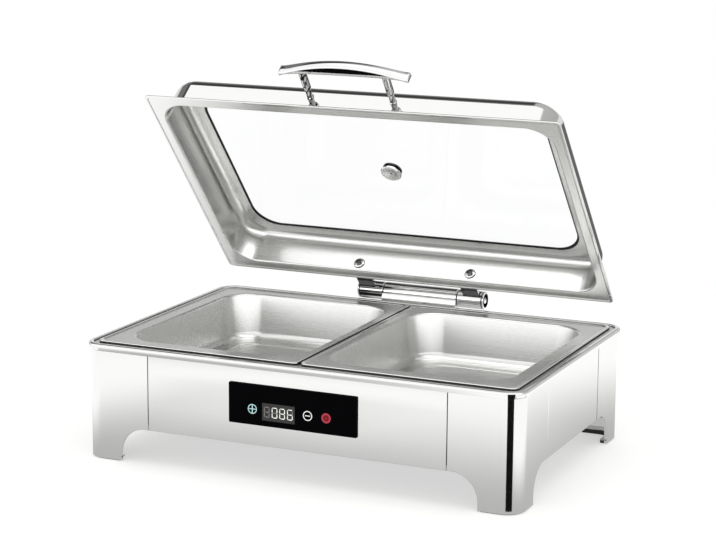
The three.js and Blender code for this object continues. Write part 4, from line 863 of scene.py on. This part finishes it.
pane_tree.links.new(pane_rough.outputs["Result"], pane_shader.inputs["Roughness"])
pane_tint = ramp(pane_tree, pane_smear, (0.2, (0.985, 0.995, 0.99)), (0.8, (1.0, 1.0, 1.0)))
pane_tree.links.new(pane_tint.outputs["Color"], pane_shader.inputs["Base Color"])
frame["nodes"]["lid_glass"].data.materials.clear()
frame["nodes"]["lid_glass"].data.materials.append(pane)

# Steam vent in the middle of the pane: a turned chrome disc under the glass, and a slotted cap
# above it that turns to let the steam out. The cap's dark colour is a painted reflection.
vent_middle = lid_turn @ Matrix.Translation((0, lid_centre[1], 0))
disc_low = 187.2 * mm
disc_top = 190.2 * mm
disc_radius = 13.5 * mm
disc_brushed = 0.6 * mm
stem_radius = 5.2 * mm
stem_top = 197 * mm
shape = bmesh.new()
turned(shape, [
    (1.1 * mm, disc_low + 0.9 * mm), (2 * mm, disc_low + 0.5 * mm), (7.5 * mm, disc_low + 0.5 * mm),
    (8.1 * mm, disc_low), (12.3 * mm, disc_low), (disc_radius, disc_low + 1.2 * mm),
    (disc_radius, disc_top - 0.6 * mm), (disc_radius - 0.6 * mm, disc_top), (stem_radius, disc_top),
    (stem_radius, stem_top), (stem_radius - 0.9 * mm, stem_top), (1.1 * mm, disc_top),
    (1.1 * mm, disc_low + 0.9 * mm)], vent_middle)
for face in shape.faces:
    low = (vent_middle.inverted() @ face.calc_center_median()).z
    face.material_index = low < disc_low + disc_brushed
brushed_disc = steel("brushed_disc", (0.78, 0.78, 0.77), 0.3, (700, 60, 60), 0.08, 0.3, 0.8)
as_piece("vent_disc", shape, "lid", chrome, ("vent_body",), second=brushed_disc)
# The cap's dark colour is a painted reflection.
eased("vent_cap", 0.35 * mm, 3).data.materials[0] = chrome_painted_dark

# Hinge sleeves: a chromed sleeve at each end of the barrel with a bent strap that runs up the
# lid's rear wall, closed by a cap with a sunk ring and a pin. The straps carry a painted dark
# reflection in their colour, and the sunk rings are painted black as shade.
strap_inner = 62 * mm
strap_back = 156.8 * mm
strap_low = 148.1 * mm
strap_high = 167.1 * mm
strap_sheet = 3 * mm
strap_bend = 3.5 * mm
cap_ring_inner = 4.25 * mm
cap_ring_outer = 9.25 * mm
for side, side_word in ((-1, "left"), (1, "right")):
    shape = bmesh.new()
    outward = along_x @ Matrix.Diagonal((1, 1, side, 1))
    turned(shape, [
        (axle_bore, sleeve_start), (barrel_radius - edge_ease, sleeve_start),
        (barrel_radius, sleeve_start + edge_ease), (barrel_radius, sleeve_end - edge_ease),
        (barrel_radius - edge_ease, sleeve_end), (axle_bore, sleeve_end),
        (axle_bore, sleeve_start)], outward, 96)
    strap = bmesh.ops.create_grid(shape, x_segments=1, y_segments=2, size=0.5)["verts"]
    strap_line = ((strap_back, strap_high), (strap_back, strap_low), (hinge.y, strap_low))
    for vert in strap:
        along = strap_line[round((vert.co.y + 0.5) * 2)]
        width = strap_inner if vert.co.x < 0 else sleeve_end - edge_ease
        vert.co = (side * width, *along)
    bend = [item for item in shape.edges if item.verts[0] in strap and item.verts[1] in strap
            and all(abs(vert.co.y - strap_back) + abs(vert.co.z - strap_low) < mm
                    for vert in item.verts)]
    bent = bevelled(shape, bend, strap_bend, 5)
    strap_faces = list({face for vert in strap if vert.is_valid for face in vert.link_faces}
                       | {face for face in bent["faces"] if face.is_valid})
    bmesh.ops.recalc_face_normals(shape, faces=strap_faces)
    way = sum(face.normal.y + face.normal.z for face in strap_faces)
    solid = bmesh.ops.solidify(shape, geom=strap_faces,
                               thickness=-strap_sheet if way > 0 else strap_sheet)["geom"]
    # The strap's faces take the painted dark reflection.
    for face in strap_faces + [item for item in solid if isinstance(item, bmesh.types.BMFace)]:
        face.material_index = 1
    bmesh.ops.recalc_face_normals(shape, faces=shape.faces)
    bmesh.ops.transform(shape, matrix=lid_turn, verts=shape.verts)
    as_piece(f"hinge_sleeve_{side_word}", shape, "lid", painted_reflection_streaks,
             (f"hinge_arm_{side_word}",), second=chrome_painted_dark)
    shape = bmesh.new()
    turned(shape, [
        (0, cap_start), (barrel_radius - edge_ease, cap_start),
        (barrel_radius, cap_start + edge_ease),
        (barrel_radius, cap_end - edge_ease), (barrel_radius - edge_ease, cap_end),
        (9.2 * mm, cap_end), (8.8 * mm, cap_end - 2 * mm), (4.4 * mm, cap_end - 2 * mm),
        (4 * mm, cap_end - 0.6 * mm), (3.4 * mm, cap_end - 0.2 * mm), (0, cap_end - 0.2 * mm)],
        outward, 96)
    # Painted shade: the sunk ring's faces turn black.
    for face in shape.faces:
        place = face.calc_center_median()
        reach = (place.yz - hinge.yz).length
        face.material_index = (cap_start < abs(place.x) < cap_end - near
                               and cap_ring_inner < reach < cap_ring_outer)
    bmesh.ops.transform(shape, matrix=lid_turn, verts=shape.verts)
    as_piece(f"hinge_end_{side_word}", shape, "lid", chrome, (f"hinge_cap_{side_word}",),
             second=black_glass)

# Handle: a cast and chromed bar, nearly straight inside and bowed outside, with flared tips. Two
# turned posts lean out to it, screwed through the lid's front wall. The black crescent under the
# bar is painted shade, and the dark speckles on the posts are painted reflections.
bar_middle = Vector((6.5, -226.2, 164.1)) * mm
bar_half = 84 * mm
bar_thick = 15 * mm
bar_bow = 17 * mm
bar_inner_bow = 1.5 * mm
bar_flick = 2.5 * mm
bar_tip = 6 * mm
bar_waist = 12 * mm
bar_flare = 14 * mm
bar_ease = 2.2 * mm
bar_lip = 5 * mm
bar_crown = 0.8 * mm
bar_underside = -0.97
shape = bmesh.new()
bmesh.ops.create_cube(shape, size=1)
lengthwise = [item for item in shape.edges if abs(item.verts[0].co.x - item.verts[1].co.x) > 0.5]
bmesh.ops.subdivide_edges(shape, edges=lengthwise, cuts=59, use_grid_fill=True)
crossings = [item for item in shape.edges if abs(item.verts[0].co.z - item.verts[1].co.z) > 0.5]
bmesh.ops.subdivide_edges(shape, edges=crossings, cuts=3, use_grid_fill=True)
for vert in shape.verts:
    share = vert.co.x * 2
    tip = share ** 12
    outer = bar_bow * share ** 2 - bar_thick - bar_flick * tip
    tip_inside = bar_bow - bar_thick - bar_flick + bar_tip
    inner = bar_inner_bow * share ** 2 + (tip_inside - bar_inner_bow) * tip
    width = bar_waist + (bar_flare - bar_waist) * share ** 4
    crown = bar_crown * (1 - 4 * vert.co.z ** 2)
    depth = outer - crown if vert.co.y < 0 else inner
    vert.co = bar_middle + Vector((share * bar_half, depth, vert.co.z * width))
long_edges = [item for item in shape.edges if item.calc_face_angle(0) > math.radians(50)]
bevelled(shape, long_edges, bar_ease, 5)
cut(shape, bar_middle - Vector((0, bar_lip, 0)), (0, 1, 0))
bmesh.ops.recalc_face_normals(shape, faces=shape.faces)
# Painted shade: the downward faces of the bowed front turn black.
for face in shape.faces:
    face.material_index = (face.normal.z < bar_underside
                           and face.calc_center_median().y < bar_middle.y - bar_lip)
bmesh.ops.transform(shape, matrix=lid_turn, verts=shape.verts)
as_piece("handle_grip", shape, "lid", chrome, ("handle_bar",), crease=50,
         second=black_glass)

# Painted reflections: dark speckles laid into the posts' chrome colour.
painted_speckle_chrome = steel("chrome_painted_speckles", (0.93, 0.93, 0.925), 0.09, (330, 330, 120), 0.03, 0.2, 0.02)
painted_speckle_chrome.node_tree.nodes["Color Ramp"].color_ramp.elements[0].position = 0.88
post_x = 54 * mm
post_run = 56 * mm
post_height = 157.6 * mm
post_wall = -169.5 * mm
post_lean = 5.4 / 57
for side, side_word in ((-1, "left"), (1, "right")):
    shape = bmesh.new()
    leaning = Matrix.Identity(4)
    leaning[1][2] = post_lean
    turned(shape, [
        (0, 0), (6.2 * mm, 0), (6.5 * mm, 0.4 * mm), (6.3 * mm, 1.4 * mm), (4.4 * mm, 2 * mm),
        (3.6 * mm, 3 * mm), (3.8 * mm, 14 * mm), (4.4 * mm, 14.6 * mm), (4.4 * mm, 16.6 * mm),
        (3.8 * mm, 17.2 * mm), (3.6 * mm, 27 * mm), (4.3 * mm, 29 * mm), (4.7 * mm, 31 * mm),
        (4.7 * mm, post_run), (0, post_run)],
        lid_turn @ Matrix.Translation((bar_middle.x + side * post_x, post_wall, post_height))
        @ Matrix.Rotation(math.pi / 2, 4, "X") @ leaning)
    as_piece(f"handle_turned_post_{side_word}", shape, "lid", painted_speckle_chrome,
             (f"handle_post_{side_word}",))

# Screws inside the lid: cross-head screws in turned cup washers hold the straps and the posts.
# The crosses are painted shade in black, and the heads and washer edges painted dark reflections.
washer_width = 1.2
washer_bright = (4.5 * mm, 5.9 * mm)
cross_radius = 2.6 * mm
cross_front = 0.3 * mm
cross_back = 3 * mm
for side_word in ("left", "right"):
    for fixing in ("hinge_screw", "handle_screw", "hinge_washer"):
        eased(f"{fixing}_{side_word}", 0.2 * mm)
    # The head is chrome with a painted dark reflection.
    head = bpy.data.objects[f"hinge_screw_{side_word}_eased"].data
    head.materials[0] = chrome_painted_dark
    head.materials.append(black_glass)
    closed = [lid_turn.inverted() @ face.center for face in head.polygons]
    front = min(place.y for place in closed)
    middle = sum((place.xz for place in closed), Vector((0, 0))) / len(closed)
    # Painted shade: the cross recess turns black.
    for face, place in zip(head.polygons, closed):
        face.material_index = (front + cross_front < place.y < front + cross_back
                               and (place.xz - middle).length < cross_radius)
    washer = bpy.data.objects[f"hinge_washer_{side_word}_eased"].data
    washer.materials.append(chrome_painted_dark)
    for vert in washer.vertices:
        place = lid_turn.inverted() @ vert.co
        wide = middle + washer_width * (place.xz - middle)
        vert.co = lid_turn @ Vector((wide.x, place.y, wide.y))
    # Painted reflection: the washer turns dark outside its bright band.
    for face in washer.polygons:
        place = lid_turn.inverted() @ face.center
        reach = (place.xz - middle).length / washer_width
        face.material_index = not washer_bright[0] < reach < washer_bright[1]
